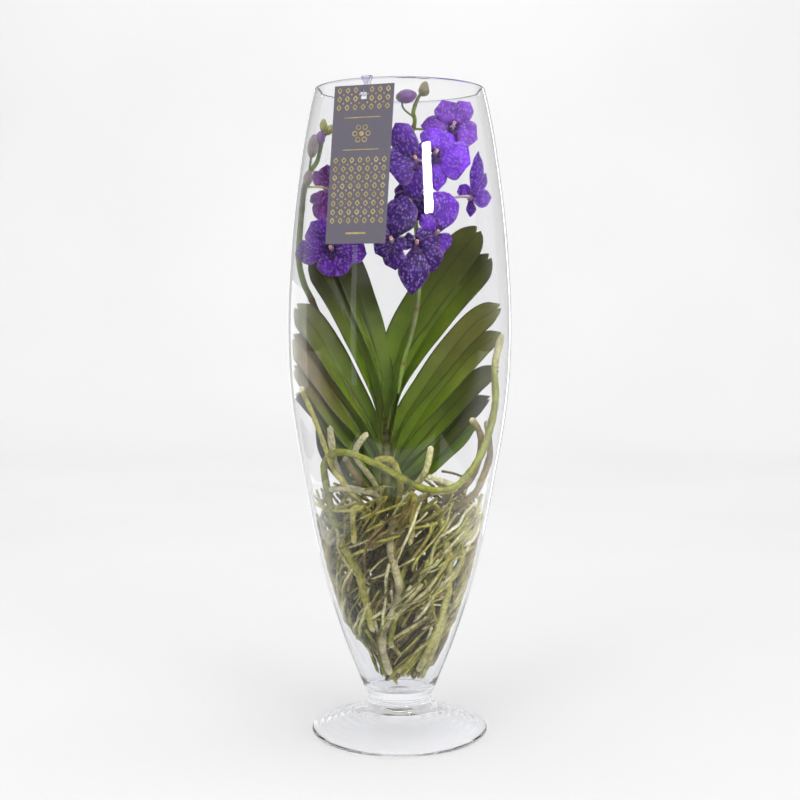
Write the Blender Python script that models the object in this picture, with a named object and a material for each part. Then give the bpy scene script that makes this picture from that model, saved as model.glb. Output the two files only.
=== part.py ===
"""A vanda orchid resting bare-rooted in a tall footed glass vase, with a hang tag on a clear hook.

Metres, +Z up. The vase stands on z = 0 with its axis on Z. The photographed front faces -Y.
"""

import math
import random

import bmesh
import bpy
from mathutils import Vector

# Where the photograph was taken from, so that a place can be given as a pixel and a depth
EYE_DISTANCE = 1.464
EYE_HEIGHT = 0.480
EYE_PITCH = math.radians(4.45)
FOCAL_PIXELS = 1344.0
AXIS_PIXEL_X = 399.6
MIDDLE_PIXEL_Y = 400.0

# Vase, as (height, radius) in millimetres of the outside of the bowl, measured up its silhouette
BOWL_OUTLINE = (
    (36, 32.8), (48, 39.2), (64, 45.4), (86, 54.2), (113, 64.0), (137, 71.8),
    (165, 80.2), (212, 91.4), (240, 97.0), (279, 103.8), (315, 110.2), (345, 114.9),
    (375, 118.4), (406, 120.5), (440, 121.3), (470, 120.8), (500, 119.2), (543, 116.0),
    (590, 110.8), (629, 105.2), (654, 101.2), (680, 96.0), (698, 91.6),
)
VASE_SIDES = 36
BOWL_ROWS = 11
BOWL_BASE = 0.0365
RIM_HEIGHT = 0.700
RIM_OUTER_DROP = 0.0020
RIM_INNER_DROP = 0.0030
RIM_FLAT = (0.0007, 0.0022)
BOWL_FLOOR = 0.0490
FLOOR_CORNER = ((0.0325, 0.0018), (0.0285, 0.0), (0.0, 0.0))
FLOOR_CORNER_HEIGHT = 0.0070
WALL_AT_RIM = 0.0030
WALL_AT_FLOOR = 0.0050
WALL_TAPER_HEIGHT = 0.10

# Foot, as (radius, height) in metres
FOOT_UNDERSIDE = ((0.0, 0.0200), (0.0300, 0.0175), (0.0600, 0.0095), (0.0860, 0.0008), (0.0880, 0.0))
FOOT_TOP = (
    (0.0950, 0.0), (0.0968, 0.0022), (0.0955, 0.0046), (0.0800, 0.0093), (0.0620, 0.0158),
    (0.0470, 0.0232), (0.0405, 0.0276), (0.0398, 0.0310), (0.0350, 0.0330),
)

# Room kept between the plant and the glass
GLASS_GAP = 0.0005
TOUCH_GAP = 0.0003

# Hang tag
TAG_TURN = math.radians(21.5)
TAG_WIDTH = 0.065
TAG_LENGTH = 0.162
TAG_THICKNESS = 0.0008
TAG_TOP_HEIGHT = 0.6915
TAG_BOTTOM_HEIGHT = 0.5315
TAG_TOP_STANDOFF = 0.0026
TAG_HOLE_DROP = 0.0110
TAG_HOLE_WIDTH = 0.0062
TAG_HOLE_HEIGHT = 0.0075
TAG_HOLE_HEIGHT_ON_VASE = 0.6806

# Hook: bent from a strip, with the curled end's widths and its gap from the glass
HOOK_THICKNESS = 0.0008
HOOK_WIDE = 0.0052
HOOK_NARROW = 0.0020
HOOK_STANDOFF = 0.0009
HOOK_CREST_RISE = 0.0011

# Leaves
LEAF_THICKNESS = 0.0013
LEAF_ROWS = 7
LEAF_FOLD_AT_BASE = math.radians(52)
LEAF_FOLD_AT_TIP = math.radians(5)
LEAF_COLUMNS = (-1.0, 0.0, 1.0)

# Blooms
TEPAL_THICKNESS = 0.0010
TEPAL_RISE = 0.10
TEPAL_CURL = 0.16
TEPAL_CUP = 0.22
LIP_LENGTH = 0.030
LIP_THICKNESS = 0.0014
BOSS_RADIUS = 0.0036
BOSS_LENGTH = 0.0070
BOSS_BACK = 0.0042
BOSS_FRONT = 0.0037
COLUMN_RADIUS = 0.0023
COLUMN_LENGTH = 0.0062
COLUMN_LEAN = 0.45

# Stalks
PEDICEL_RADIUS = 0.0013
PEDICEL_STRAIGHT = 0.0060
PEDICEL_END_GAP = 0.0011
BUD_STALK_RADIUS = 0.0012
STALK_SIDES = 4
PEDUNCLE_SIDES = 6
STEM_SIDES = 7
SHARP_EDGE = math.radians(35)

VIOLET = (0.16, 0.06, 0.42)
LEAF_GREEN = (0.12, 0.20, 0.05)
STALK_GREEN = (0.22, 0.26, 0.10)
ROOT_OLIVE = (0.33, 0.34, 0.16)
CREAM = (0.80, 0.62, 0.40)
CARD_GREY = (0.13, 0.13, 0.15)
CLEAR = (0.92, 0.94, 0.96)


def seen(px, py, depth=0.0):
    """The point at this depth (y, in metres) that the photograph shows at this pixel."""
    right = (px - AXIS_PIXEL_X) / FOCAL_PIXELS
    up = (MIDDLE_PIXEL_Y - py) / FOCAL_PIXELS
    ahead = math.cos(EYE_PITCH) + up * math.sin(EYE_PITCH)
    reach = (EYE_DISTANCE + depth) / ahead
    rise = up * math.cos(EYE_PITCH) - math.sin(EYE_PITCH)
    return Vector((right * reach, depth, EYE_HEIGHT + reach * rise))


def clear_scene():
    for obj in list(bpy.data.objects):
        bpy.data.objects.remove(obj)


def mix(a, b, share):
    return a + (b - a) * share


def smooth_value(points, at):
    """A smooth curve through (position, value) pairs, read at one position."""
    last = len(points) - 1
    at = min(max(at, points[0][0]), points[last][0])
    i = next(k for k in range(last) if at <= points[k + 1][0])
    (x0, y0), (x1, y1) = points[i], points[i + 1]
    before, after = points[max(i - 1, 0)], points[min(i + 2, last)]
    slope0 = (y1 - before[1]) / (x1 - before[0])
    slope1 = (after[1] - y0) / (after[0] - x0)
    span = x1 - x0
    t = (at - x0) / span
    return (
        (2 * t**3 - 3 * t**2 + 1) * y0 + (t**3 - 2 * t**2 + t) * span * slope0
        + (3 * t**2 - 2 * t**3) * y1 + (t**3 - t**2) * span * slope1
    )


def smooth_path(points, count):
    """Evenly numbered points on a smooth curve through these points."""
    path = []
    last = len(points) - 1
    for k in range(count):
        place = k * last / (count - 1)
        i = min(int(place), last - 1)
        t = place - i
        p0, p1 = points[max(i - 1, 0)], points[i]
        p2, p3 = points[i + 1], points[min(i + 2, last)]
        path.append(
            0.5 * (2 * p1 + (p2 - p0) * t + (2 * p0 - 5 * p1 + 4 * p2 - p3) * t**2
                   + (3 * p1 - p0 - 3 * p2 + p3) * t**3)
        )
    return path


def outer_radius(height):
    return smooth_value(BOWL_OUTLINE, height * 1000) / 1000


def wall_thickness(height):
    share = min(max((height - BOWL_FLOOR) / WALL_TAPER_HEIGHT, 0.0), 1.0)
    return mix(WALL_AT_FLOOR, WALL_AT_RIM, share)


def bowl_inside():
    """(radius, height) pairs down the inside of the bowl, from the rim to the floor's middle."""
    pairs = []
    top, bottom = RIM_HEIGHT - RIM_INNER_DROP, BOWL_FLOOR + FLOOR_CORNER_HEIGHT
    for k in range(BOWL_ROWS):
        height = mix(top, bottom, k / (BOWL_ROWS - 1))
        pairs.append((outer_radius(height) - wall_thickness(height), height))
    return pairs + [(radius, BOWL_FLOOR + rise) for radius, rise in FLOOR_CORNER]


def inner_radius(height):
    """The distance from the axis to the middle of a flat of the bowl's inside, at this height."""
    rows = bowl_inside()[-2::-1]
    above = next((k for k in range(1, len(rows)) if rows[k][1] >= height), len(rows) - 1)
    (low_radius, low), (high_radius, high) = rows[above - 1], rows[above]
    radius = mix(low_radius, high_radius, (height - low) / (high - low))
    return radius * math.cos(math.pi / VASE_SIDES)


def kept_inside(point, clearance):
    """The point moved, where it has to be, so that it stays this far from the glass."""
    height = max(point.z, BOWL_FLOOR + clearance)
    room = inner_radius(height) - clearance
    reach = math.hypot(point.x, point.y)
    scale = min(1.0, room / reach) if reach else 1.0
    return Vector((point.x * scale, point.y * scale, height))


def material(name, colour, rough=0.5, transmission=0.0):
    made = bpy.data.materials.new(name)
    made.use_nodes = True
    shader = made.node_tree.nodes["Principled BSDF"]
    shader.inputs["Base Color"].default_value = (*colour, 1.0)
    shader.inputs["Roughness"].default_value = rough
    shader.inputs["Transmission Weight"].default_value = transmission
    return made


def mesh_object(name, points, faces):
    mesh = bpy.data.meshes.new(name)
    mesh.from_pydata([tuple(p) for p in points], [], faces)
    work = bmesh.new()
    work.from_mesh(mesh)
    bmesh.ops.recalc_face_normals(work, faces=work.faces)
    bmesh.ops.triangulate(work, faces=work.faces)
    work.to_mesh(mesh)
    work.free()
    obj = bpy.data.objects.new(name, mesh)
    bpy.context.scene.collection.objects.link(obj)
    return obj


def largest_body(mesh):
    """Removes from a mesh the loose scraps and sealed hollows that a union can leave."""
    work = bmesh.new()
    work.from_mesh(mesh)
    left = set(work.faces)
    bodies = []
    while left:
        body = set()
        edge = [left.pop()]
        while edge:
            face = edge.pop()
            body.add(face)
            beside = {other for side in face.edges for other in side.link_faces} & left
            left -= beside
            edge += beside
        bodies.append(body)
    bodies.sort(key=len)
    scraps = [face for body in bodies[:-1] for face in body]
    bmesh.ops.delete(work, geom=scraps, context="FACES")
    work.to_mesh(mesh)
    work.free()


def fused(name, pieces):
    """One object from pieces that overlap."""
    first, others = pieces[0], pieces[1:]
    group = bpy.data.collections.new(name + "_pieces")
    for piece in others:
        group.objects.link(piece)
    join = first.modifiers.new("join", "BOOLEAN")
    join.operation = "UNION"
    join.solver = "MANIFOLD"
    join.operand_type = "COLLECTION"
    join.collection = group
    graph = bpy.context.evaluated_depsgraph_get()
    mesh = bpy.data.meshes.new_from_object(first.evaluated_get(graph))
    largest_body(mesh)
    for piece in pieces:
        bpy.data.objects.remove(piece)
    bpy.data.collections.remove(group)
    obj = bpy.data.objects.new(name, mesh)
    bpy.context.scene.collection.objects.link(obj)
    return obj


def given(obj, finish):
    obj.data.materials.clear()
    obj.data.materials.append(finish)
    return obj


def ringed(name, rings, start, end):
    """A closed solid through rings of points, with a point at either end."""
    sides = len(rings[0])
    points = [start] + [p for ring in rings for p in ring] + [end]
    faces = [(0, 1 + (k + 1) % sides, 1 + k) for k in range(sides)]
    for row in range(len(rings) - 1):
        a = 1 + row * sides
        b = a + sides
        faces += [(a + k, a + (k + 1) % sides, b + (k + 1) % sides, b + k) for k in range(sides)]
    a = 1 + (len(rings) - 1) * sides
    faces += [(a + k, a + (k + 1) % sides, len(points) - 1) for k in range(sides)]
    return mesh_object(name, points, faces)


def revolved(name, profile, sides):
    """A solid of revolution from (radius, height) pairs whose first and last lie on the axis."""
    rings = []
    for radius, height in profile[1:-1]:
        turns = [2 * math.pi * k / sides for k in range(sides)]
        rings.append([Vector((radius * math.cos(a), radius * math.sin(a), height)) for a in turns])
    start = Vector((0, 0, profile[0][1]))
    end = Vector((0, 0, profile[-1][1]))
    return ringed(name, rings, start, end)


def tube(name, path, radii, sides, flat=1.0):
    """A round bar along a path, or an oval one where flat is under 1."""
    rings = []
    side = Vector((0, 0, 1)).cross(path[1] - path[0])
    if side.length < 1e-6:
        side = Vector((1, 0, 0))
    for i, centre in enumerate(path):
        ahead = (path[min(i + 1, len(path) - 1)] - path[max(i - 1, 0)]).normalized()
        side = (side - ahead * side.dot(ahead)).normalized()
        across = ahead.cross(side)
        ring = []
        for k in range(sides):
            a = 2 * math.pi * k / sides
            ring.append(centre + radii[i] * (math.cos(a) * side + flat * math.sin(a) * across))
        rings.append(ring)
    start_out = (path[0] - path[1]).normalized() * radii[0] * 0.5
    end_out = (path[-1] - path[-2]).normalized() * radii[-1] * 0.5
    return ringed(name, rings, path[0] + start_out, path[-1] + end_out)


def bead(name, centre, along, length, radius, sides=5):
    """A rounded bead, such as a bud, with its long axis along a direction."""
    along = along.normalized()
    stations = (-0.42, -0.18, 0.12, 0.38)
    girths = (0.62, 0.98, 0.92, 0.50)
    path = [centre + along * length * s for s in stations]
    return tube(name, path, [radius * g for g in girths], sides)


def blade(name, rows, normals, thickness):
    """A closed thin sheet over a grid of points, half the thickness to each side."""
    columns = len(rows[0])
    half = thickness / 2
    upper = [p + n * half for row, row_n in zip(rows, normals) for p, n in zip(row, row_n)]
    lower = [p - n * half for row, row_n in zip(rows, normals) for p, n in zip(row, row_n)]
    shift = len(upper)
    faces = []
    for r in range(len(rows) - 1):
        for c in range(columns - 1):
            a = r * columns + c
            quad = (a, a + 1, a + columns + 1, a + columns)
            faces.append(quad)
            faces.append(tuple(shift + k for k in reversed(quad)))
    border = [c for c in range(columns)]
    border += [r * columns + columns - 1 for r in range(1, len(rows))]
    border += [(len(rows) - 1) * columns + c for c in range(columns - 2, -1, -1)]
    border += [r * columns for r in range(len(rows) - 2, 0, -1)]
    for a, b in zip(border, border[1:] + border[:1]):
        faces.append((b, a, a + shift, b + shift))
    return mesh_object(name, upper + lower, faces)


def grid_normals(rows):
    """The normal of a grid of points at each of them."""
    normals = []
    for r, row in enumerate(rows):
        line = []
        for c in range(len(row)):
            below, above = rows[max(r - 1, 0)][c], rows[min(r + 1, len(rows) - 1)][c]
            left, right = row[max(c - 1, 0)], row[min(c + 1, len(row) - 1)]
            line.append((above - below).cross(right - left).normalized())
        normals.append(line)
    return normals


# Vase

def bowl_outside():
    pairs = []
    for k in range(BOWL_ROWS + 1):
        height = mix(BOWL_BASE, RIM_HEIGHT - RIM_OUTER_DROP, k / BOWL_ROWS)
        pairs.append((outer_radius(height), height))
    return pairs


def make_vase():
    rim_outer = outer_radius(RIM_HEIGHT - RIM_OUTER_DROP)
    rim = [(rim_outer - inward, RIM_HEIGHT) for inward in RIM_FLAT]
    profile = [*FOOT_UNDERSIDE, *FOOT_TOP, *bowl_outside(), *rim, *bowl_inside()]
    vase = revolved("glass_vase", profile, VASE_SIDES)
    vase.data.shade_smooth()
    vase.data.set_sharp_from_angle(angle=SHARP_EDGE)
    given(vase, material("clear_glass", CLEAR, rough=0.02, transmission=1.0))


# Hang tag and its hook

def tag_axes():
    """The tag's outward, sideways and downward directions, and the middle of its top edge."""
    outward = Vector((-math.sin(TAG_TURN), -math.cos(TAG_TURN), 0))
    sideways = Vector((math.cos(TAG_TURN), -math.sin(TAG_TURN), 0))
    top_radius = outer_radius(TAG_TOP_HEIGHT) + TAG_TOP_STANDOFF
    drop = TAG_TOP_HEIGHT - TAG_BOTTOM_HEIGHT
    spread = math.sqrt(TAG_LENGTH**2 - drop**2)
    down = (outward * spread - Vector((0, 0, drop))).normalized()
    return outward, sideways, down, outward * top_radius + Vector((0, 0, TAG_TOP_HEIGHT))


def make_tag():
    _, sideways, down, top = tag_axes()
    face = down.cross(sideways).normalized()
    hole = (TAG_HOLE_WIDTH / 2, TAG_HOLE_HEIGHT / 2)
    across = (-TAG_WIDTH / 2, -hole[0], hole[0], TAG_WIDTH / 2)
    along = (0.0, TAG_HOLE_DROP - hole[1], TAG_HOLE_DROP + hole[1], TAG_LENGTH)
    points = []
    for level in (0.0, TAG_THICKNESS):
        for d in along:
            points += [top + sideways * s + down * d + face * level for s in across]
    faces = []
    for r in range(3):
        for c in range(3):
            if (r, c) == (1, 1):
                continue
            a = r * 4 + c
            faces += [(a, a + 1, a + 5, a + 4), (a + 16, a + 20, a + 21, a + 17)]
    outer = (0, 1, 2, 3, 7, 11, 15, 14, 13, 12, 8, 4)
    for ring in (outer, (5, 9, 10, 6)):
        for a, b in zip(ring, ring[1:] + ring[:1]):
            faces.append((a, a + 16, b + 16, b))
    given(mesh_object("tag_card", points, faces), material("card_grey", CARD_GREY, rough=0.55))


def hook_line():
    """(radius, height, half width) down the hook, from inside the rim to its curled end."""
    rim = outer_radius(RIM_HEIGHT - RIM_OUTER_DROP)
    crest = RIM_HEIGHT + HOOK_CREST_RISE
    hole = outer_radius(TAG_HOLE_HEIGHT_ON_VASE)
    inside = (
        (rim - 0.0058, 0.6880, 0.0022), (rim - 0.0053, 0.6950, 0.0030), (rim - 0.0047, 0.6990, 0.0050),
    )
    over = (
        (rim - 0.0032, crest, HOOK_WIDE), (rim + 0.0002, crest, HOOK_WIDE), (rim + 0.0015, 0.6985, 0.0046),
    )
    outside = [(outer_radius(z) + HOOK_STANDOFF, z, HOOK_NARROW) for z in (0.6940, 0.6860)]
    curl = (
        (hole + 0.0010, 0.6822, HOOK_NARROW), (hole + 0.0021, 0.6802, HOOK_NARROW),
        (hole + 0.0052, 0.6802, HOOK_NARROW), (hole + 0.0068, 0.6830, HOOK_NARROW),
        (hole + 0.0066, 0.6880, 0.0016),
    )
    return (*inside, *over, *outside, *curl)


def make_hook():
    outward, sideways, _, _ = tag_axes()
    line = hook_line()
    spots = [outward * r + Vector((0, 0, z)) for r, z, _ in line]
    rows = []
    for spot, (_, _, width) in zip(spots, line):
        rows.append([spot - sideways * width, spot + sideways * width])
    hook = blade("tag_hook", rows, grid_normals(rows), HOOK_THICKNESS)
    given(hook, material("clear_plastic", CLEAR, rough=0.08, transmission=1.0))


# Leaves: the pixels and depths along each keel, its half width and how far its tip turns to the front

RIGHT_LEAVES = (
    (((390, 430, 0), (394, 378, 0), (405, 337, 0), (428, 297, 0), (455, 260, -3), (481, 229, -5)),
     0.0225, 62),
    (((392, 444, 0), (399, 392, 0), (417, 352, -2), (444, 312, -3), (471, 279, -5), (492, 256, -10)),
     0.0180, 62),
    (((393, 460, 0), (403, 422, 0), (426, 386, -4), (452, 350, -8), (478, 321, -14), (502, 307, -20)),
     0.0155, 55),
    (((393, 470, 0), (407, 440, 0), (429, 406, -4), (454, 375, -8), (479, 348, -12), (503, 335, -16)),
     0.0160, 36),
    (((393, 481, 0), (407, 460, 0), (428, 434, -4), (452, 407, -8), (476, 383, -14), (500, 369, -20)),
     0.0160, 30),
    (((392, 493, 0), (405, 477, 0), (425, 456, -4), (447, 433, -8), (469, 411, -12), (491, 398, -18)),
     0.0155, 28),
    (((391, 500, 0), (402, 488, 0), (419, 473, -4), (439, 455, -6), (459, 437, -10), (478, 425, -14)),
     0.0145, 28),
)
LEFT_LEAVES = (
    (((383, 420, 0), (380, 378, 0), (371, 335, 0), (360, 300, -2), (349, 268, -4), (339, 240, -6)),
     0.0175, 55),
    (((382, 440, 0), (374, 396, 0), (362, 355, -4), (346, 317, -8), (327, 284, -12), (308, 262, -18)),
     0.0170, 50),
    (((381, 458, 0), (366, 420, 0), (348, 386, -4), (329, 352, -8), (311, 324, -14), (294, 306, -20)),
     0.0168, 62),
    (((380, 472, 0), (366, 444, 0), (348, 414, -4), (328, 383, -8), (309, 355, -12), (290, 337, -16)),
     0.0180, 60),
    (((380, 487, 0), (367, 465, 0), (350, 438, -4), (331, 410, -10), (312, 385, -16), (292, 368, -22)),
     0.0165, 35),
    (((381, 499, 0), (368, 481, 0), (351, 456, -4), (332, 427, -10), (313, 406, -18), (294, 396, -26)),
     0.0150, 28),
    (((382, 498, 3), (368, 492, 20), (348, 476, 40), (330, 452, 52), (319, 415, 60)),
     0.0150, 50),
)
LEAF_TURN_AT_BASE = math.radians(36)
LEAF_TURN_HALFWAY = math.radians(66)


def leaf_turn(t, tip_turn):
    halfway = mix(LEAF_TURN_AT_BASE, LEAF_TURN_HALFWAY, min(t / 0.5, 1.0))
    return mix(halfway, math.radians(tip_turn), max((t - 0.5) / 0.5, 0.0))


def leaf_rows(keel, half_width, tip_turn, rows, columns):
    """A grid over one strap leaf: folded at its base, open and turned to the front at its tip."""
    path = smooth_path(keel, rows)
    grid = []
    for i, centre in enumerate(path):
        t = i / (rows - 1)
        ahead = (path[min(i + 1, rows - 1)] - path[max(i - 1, 0)]).normalized()
        near = Vector((0, -1, 0))
        near = (near - ahead * near.dot(ahead)).normalized()
        up = near.cross(ahead)
        if up.z < 0 or (abs(up.z) < 0.05 and up.x * centre.x > 0):
            up = -up
        turn = leaf_turn(t, tip_turn)
        lowered = near * math.cos(turn) - up * math.sin(turn)
        raised = up * math.cos(turn) + near * math.sin(turn)
        fold = mix(LEAF_FOLD_AT_BASE, LEAF_FOLD_AT_TIP, min(t * 1.25, 1.0))
        width = half_width * leaf_width_share(t)
        row = []
        for c in columns:
            spread = math.cos(fold) * c * lowered + math.sin(fold) * abs(c) * raised
            point = centre + spread * width + ahead * tip_set_back(t, c)
            row.append(kept_inside(point, LEAF_THICKNESS / 2 + GLASS_GAP))
        grid.append(row)
    return grid


def leaf_width_share(t):
    return smooth_value(((0.0, 0.70), (0.25, 0.88), (0.6, 1.0), (0.86, 0.96), (1.0, 0.58)), t)


def tip_set_back(t, c):
    """How far the leaf's end is drawn back at this column, for its blunt two-lobed tip."""
    share = max((t - 0.8) / 0.2, 0.0) ** 2
    notch = 0.005 * max(1 - abs(c) * 3, 0.0)
    return -share * (notch + 0.008 * abs(c)**3 + (0.003 if c > 0 else 0.0))


def make_leaf(name, keel_pixels, half_width, tip_turn):
    keel = [seen(px, py, depth / 1000) for px, py, depth in keel_pixels]
    rows = leaf_rows(keel, half_width, tip_turn, LEAF_ROWS, LEAF_COLUMNS)
    return blade(name, rows, grid_normals(rows), LEAF_THICKNESS)


STEM_LINE = ((386, 512, 2), (387, 475, 2), (387, 445, 2), (386, 418, 2), (386, 398, 2))
STEM_RADII = (0.0072, 0.0074, 0.0068, 0.0058, 0.0046, 0.0034)


def make_leafy_stem():
    line = smooth_path([seen(px, py, d / 1000) for px, py, d in STEM_LINE], len(STEM_RADII))
    pieces = [tube("stem", line, STEM_RADII, STEM_SIDES)]
    for side, leaves in (("right", RIGHT_LEAVES), ("left", LEFT_LEAVES)):
        for k, leaf in enumerate(leaves):
            pieces.append(make_leaf(f"leaf_{side}_{k}", *leaf))
    given(fused("leafy_stem", pieces), material("leaf_green", LEAF_GREEN))


# Blooms: the middle's pixel and depth, its facing, and its tepals. A tepal is given by its tip's pixel
# and depth, its half width in millimetres, and how pointed it is from 0 to 1

BLOOMS = {
    "top": ((452.5, 127.5, -4), (14, 4), (
        ((469, 102, 0), 12.0, 0.1), ((442, 101, -2), 14.0, 0.2), ((421, 125, -2), 11.0, 0.3),
        ((450, 150, 4), 12.0, 0.0), ((477, 139, 2), 14.0, 0.0))),
    "upper_right": ((435, 154, -30), (12, -5), (
        ((453, 136, -27), 14.0, 0.0), ((430, 128, -28), 13.5, 0.1), ((419, 158, -22), 9.0, 0.0),
        ((438, 191, -26), 12.0, 0.2), ((469, 165, -26), 20.0, 0.0))),
    "upper_middle": ((417, 161, -50), (-18, 0), (
        ((428, 143, -48), 9.0, 0.2), ((395, 124, -52), 15.0, 0.1), ((389, 170, -56), 20.0, 0.0),
        ((412, 198, -50), 13.0, 0.2), ((430, 180, -44), 10.0, 0.2))),
    "side": ((470, 198, 9), (152, -6), (
        ((479, 152, 10), 8.0, 0.3), ((459, 186, 11), 8.0, 0.0), ((471, 217, 12), 6.0, 0.5),
        ((492, 199, 4), 10.0, 0.2), ((486, 173, 11), 7.0, 0.0))),
    "middle": ((411, 203, -18), (-8, -8), (
        ((404, 181, -20), 13.0, 0.0), ((393, 203, -22), 13.0, 0.0), ((402, 225, -20), 13.0, 0.0),
        ((424, 219, -16), 12.0, 0.0), ((427, 193, -16), 12.0, 0.0))),
    "lower_right": ((435, 234, -36), (20, -8), (
        ((447, 192, -30), 18.5, 0.0), ((420, 215, -44), 8.0, 0.0), ((420, 246, -36), 8.0, 0.0),
        ((438, 258, -30), 11.0, 0.2), ((450, 246, -28), 9.0, 0.2))),
    "lower_middle": ((416, 243, -58), (6, -14), (
        ((426, 229, -56), 8.0, 0.0), ((402, 240, -60), 9.0, 0.0), ((411, 295, -56), 16.5, 0.7),
        ((437, 270, -50), 17.0, 0.3), ((439, 246, -50), 11.0, 0.0))),
    "lower_left": ((392, 241, -78), (-8, -6), (
        ((407, 197, -70), 18.0, 0.1), ((372, 226, -76), 9.0, 0.0), ((376, 254, -74), 11.0, 0.1),
        ((395, 270, -72), 12.0, 0.1), ((406, 247, -78), 8.0, 0.0))),
    "left": ((332.5, 249, -46), (-10, -10), (
        ((349, 226, -48), 11.0, 0.0), ((312, 223, -40), 17.0, 0.1), ((295, 254, -18), 13.0, 0.4),
        ((336, 277, -48), 19.0, 0.2), ((367, 252, -50), 13.0, 0.0))),
    "left_top": ((327, 190, -36), (158, -10), (
        ((328, 165, -36), 11.0, 0.0), ((314, 172, -36), 8.0, 0.2), ((311, 203, -34), 7.0, 0.2),
        ((321, 222, -36), 12.0, 0.1), ((341, 199, -36), 10.0, 0.0))),
}
TEPAL_LAYERS = (0.0, 0.0018, 0.0, -0.0018, 0.0018)
TEPAL_STATIONS = (0.04, 0.32, 0.78, 1.0)
TEPAL_COLUMNS = (-1.0, 0.0, 1.0)


def facing_axes(look):
    """A bloom's facing, upward and rightward directions."""
    turn, lift = math.radians(look[0]), math.radians(look[1])
    facing = Vector((math.sin(turn) * math.cos(lift), -math.cos(turn) * math.cos(lift), math.sin(lift)))
    right = Vector((math.cos(turn), math.sin(turn), 0))
    return facing, facing.cross(right), right


def tepal_width_share(t, point):
    shape = ((0.0, 0.14), (0.14, 0.36), (0.38, 0.86), (0.62, 1.0), (0.84, 0.86), (0.95, 0.56), (1.0, 0.26))
    end = min(max((t - 0.55) / 0.45, 0.0), 1.0)
    return smooth_value(shape, t) * (1 - 0.7 * point * end * end * (3 - 2 * end))


def tepal_rows(middle, facing, tepal, layer):
    """A grid over one tepal, which is narrow where it starts, broad beyond and bows to the front."""
    tip, half_width, point = tepal
    along = seen(tip[0], tip[1], tip[2] / 1000) - middle
    across = along.cross(facing).normalized()
    front = across.cross(along).normalized()
    rows = []
    for t in TEPAL_STATIONS:
        width = half_width / 1000 * tepal_width_share(t, point)
        bow = TEPAL_RISE * math.sin(math.pi * t) + TEPAL_CURL * (t - t**2)
        lift = along.length * bow + layer * min(t / 0.2, 1.0)
        row = []
        for c in TEPAL_COLUMNS:
            spot = middle + along * t + across * width * c + front * (lift - TEPAL_CUP * width * c * c)
            row.append(kept_inside(spot, TEPAL_THICKNESS / 2 + GLASS_GAP))
        rows.append(row)
    return rows


def lip_rows(middle, axes, length):
    """A grid over the bloom's small tongue, which runs down and forward under the column."""
    facing, dorsal, beside = axes
    rows = []
    for t, width in ((0.0, 0.05), (0.6, 0.11), (1.0, 0.06)):
        spot = middle - dorsal * length * (0.06 + 0.30 * t) + facing * length * 0.30 * t
        row = [spot + beside * length * width * c + facing * length * 0.03 * c * c for c in (-1, 0, 1)]
        rows.append([kept_inside(p, TEPAL_THICKNESS / 2 + GLASS_GAP) for p in row])
    return rows


def make_bloom(name, place, look, tepals, violet, cream):
    middle = seen(place[0], place[1], place[2] / 1000)
    axes = facing_axes(look)
    facing, dorsal, _ = axes
    pieces = [bead("boss", middle, facing, BOSS_LENGTH, BOSS_RADIUS)]
    for tepal, layer in zip(tepals, TEPAL_LAYERS):
        rows = tepal_rows(middle, facing, tepal, layer)
        pieces.append(blade("tepal", rows, grid_normals(rows), TEPAL_THICKNESS))
    rows = lip_rows(middle, axes, LIP_LENGTH)
    pieces.append(blade("lip", rows, grid_normals(rows), LIP_THICKNESS))
    given(fused("bloom_" + name, pieces), violet)
    lean = (facing + dorsal * COLUMN_LEAN).normalized()
    column_middle = middle + lean * (BOSS_FRONT + TOUCH_GAP + COLUMN_LENGTH / 2)
    column = bead("column_" + name, column_middle, lean, COLUMN_LENGTH, COLUMN_RADIUS)
    given(column, cream)


def make_blooms():
    for name, (place, look, tepals) in BLOOMS.items():
        violet = material("violet_" + name, VIOLET)
        cream = material("cream_" + name, CREAM)
        make_bloom(name, place, look, tepals, violet, cream)


# Flower spikes, as pixels and depths up each, with the radii and the blooms and buds on them

RIGHT_SPIKE = (
    (398.5, 393, -19.8), (401, 374, -20.8), (405.5, 354, -22), (412, 332, -21), (416.5, 310, -20),
    (419, 283, -20), (418, 250, -8), (415, 215, 8), (412, 175, 14), (411.5, 138, 11),
    (414.8, 122, 4), (413.2, 113, -2), (416, 103, -2), (420, 95, -2),
)
RIGHT_SPIKE_RADII = (0.0016, 0.0023, 0.0025, 0.0026, 0.0026, 0.0026, 0.0026, 0.0026, 0.0025,
                     0.0024, 0.0023, 0.0022, 0.0020, 0.0017)
LEFT_SPIKE = (
    (378, 436, 6.9), (360, 404, 10), (345, 380, 12), (325, 332, 8), (312, 301, 2),
    (303.5, 283, -2), (298.5, 259, -5), (298, 232, -8), (299, 204, -10), (304.5, 187, -10),
    (310, 172, -10), (317, 162, -10), (321, 147, -10), (324, 134, -10),
)
LEFT_SPIKE_RADII = (0.0032, 0.0034, 0.0034, 0.0034, 0.0034, 0.0034, 0.0034, 0.0034, 0.0032,
                    0.0030, 0.0028, 0.0024, 0.0021, 0.0018)
PEDICELS = {
    "right": {
        "top": ((413, 129, 7), (432, 130, 9)), "upper_right": ((412, 164, 14), None),
        "upper_middle": ((411, 177, 13), (405, 171.5, -3)), "side": ((414, 204, 10), None),
        "middle": ((415.4, 219, 6), None), "lower_right": ((417, 246, -6), None),
        "lower_middle": ((418.5, 276, -19), None), "lower_left": ((416.4, 236, -2), (380, 240, -44)),
    },
    "left": {"left": ((298, 240, -7), None), "left_top": ((304.5, 187, -10), None)},
}
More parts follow.
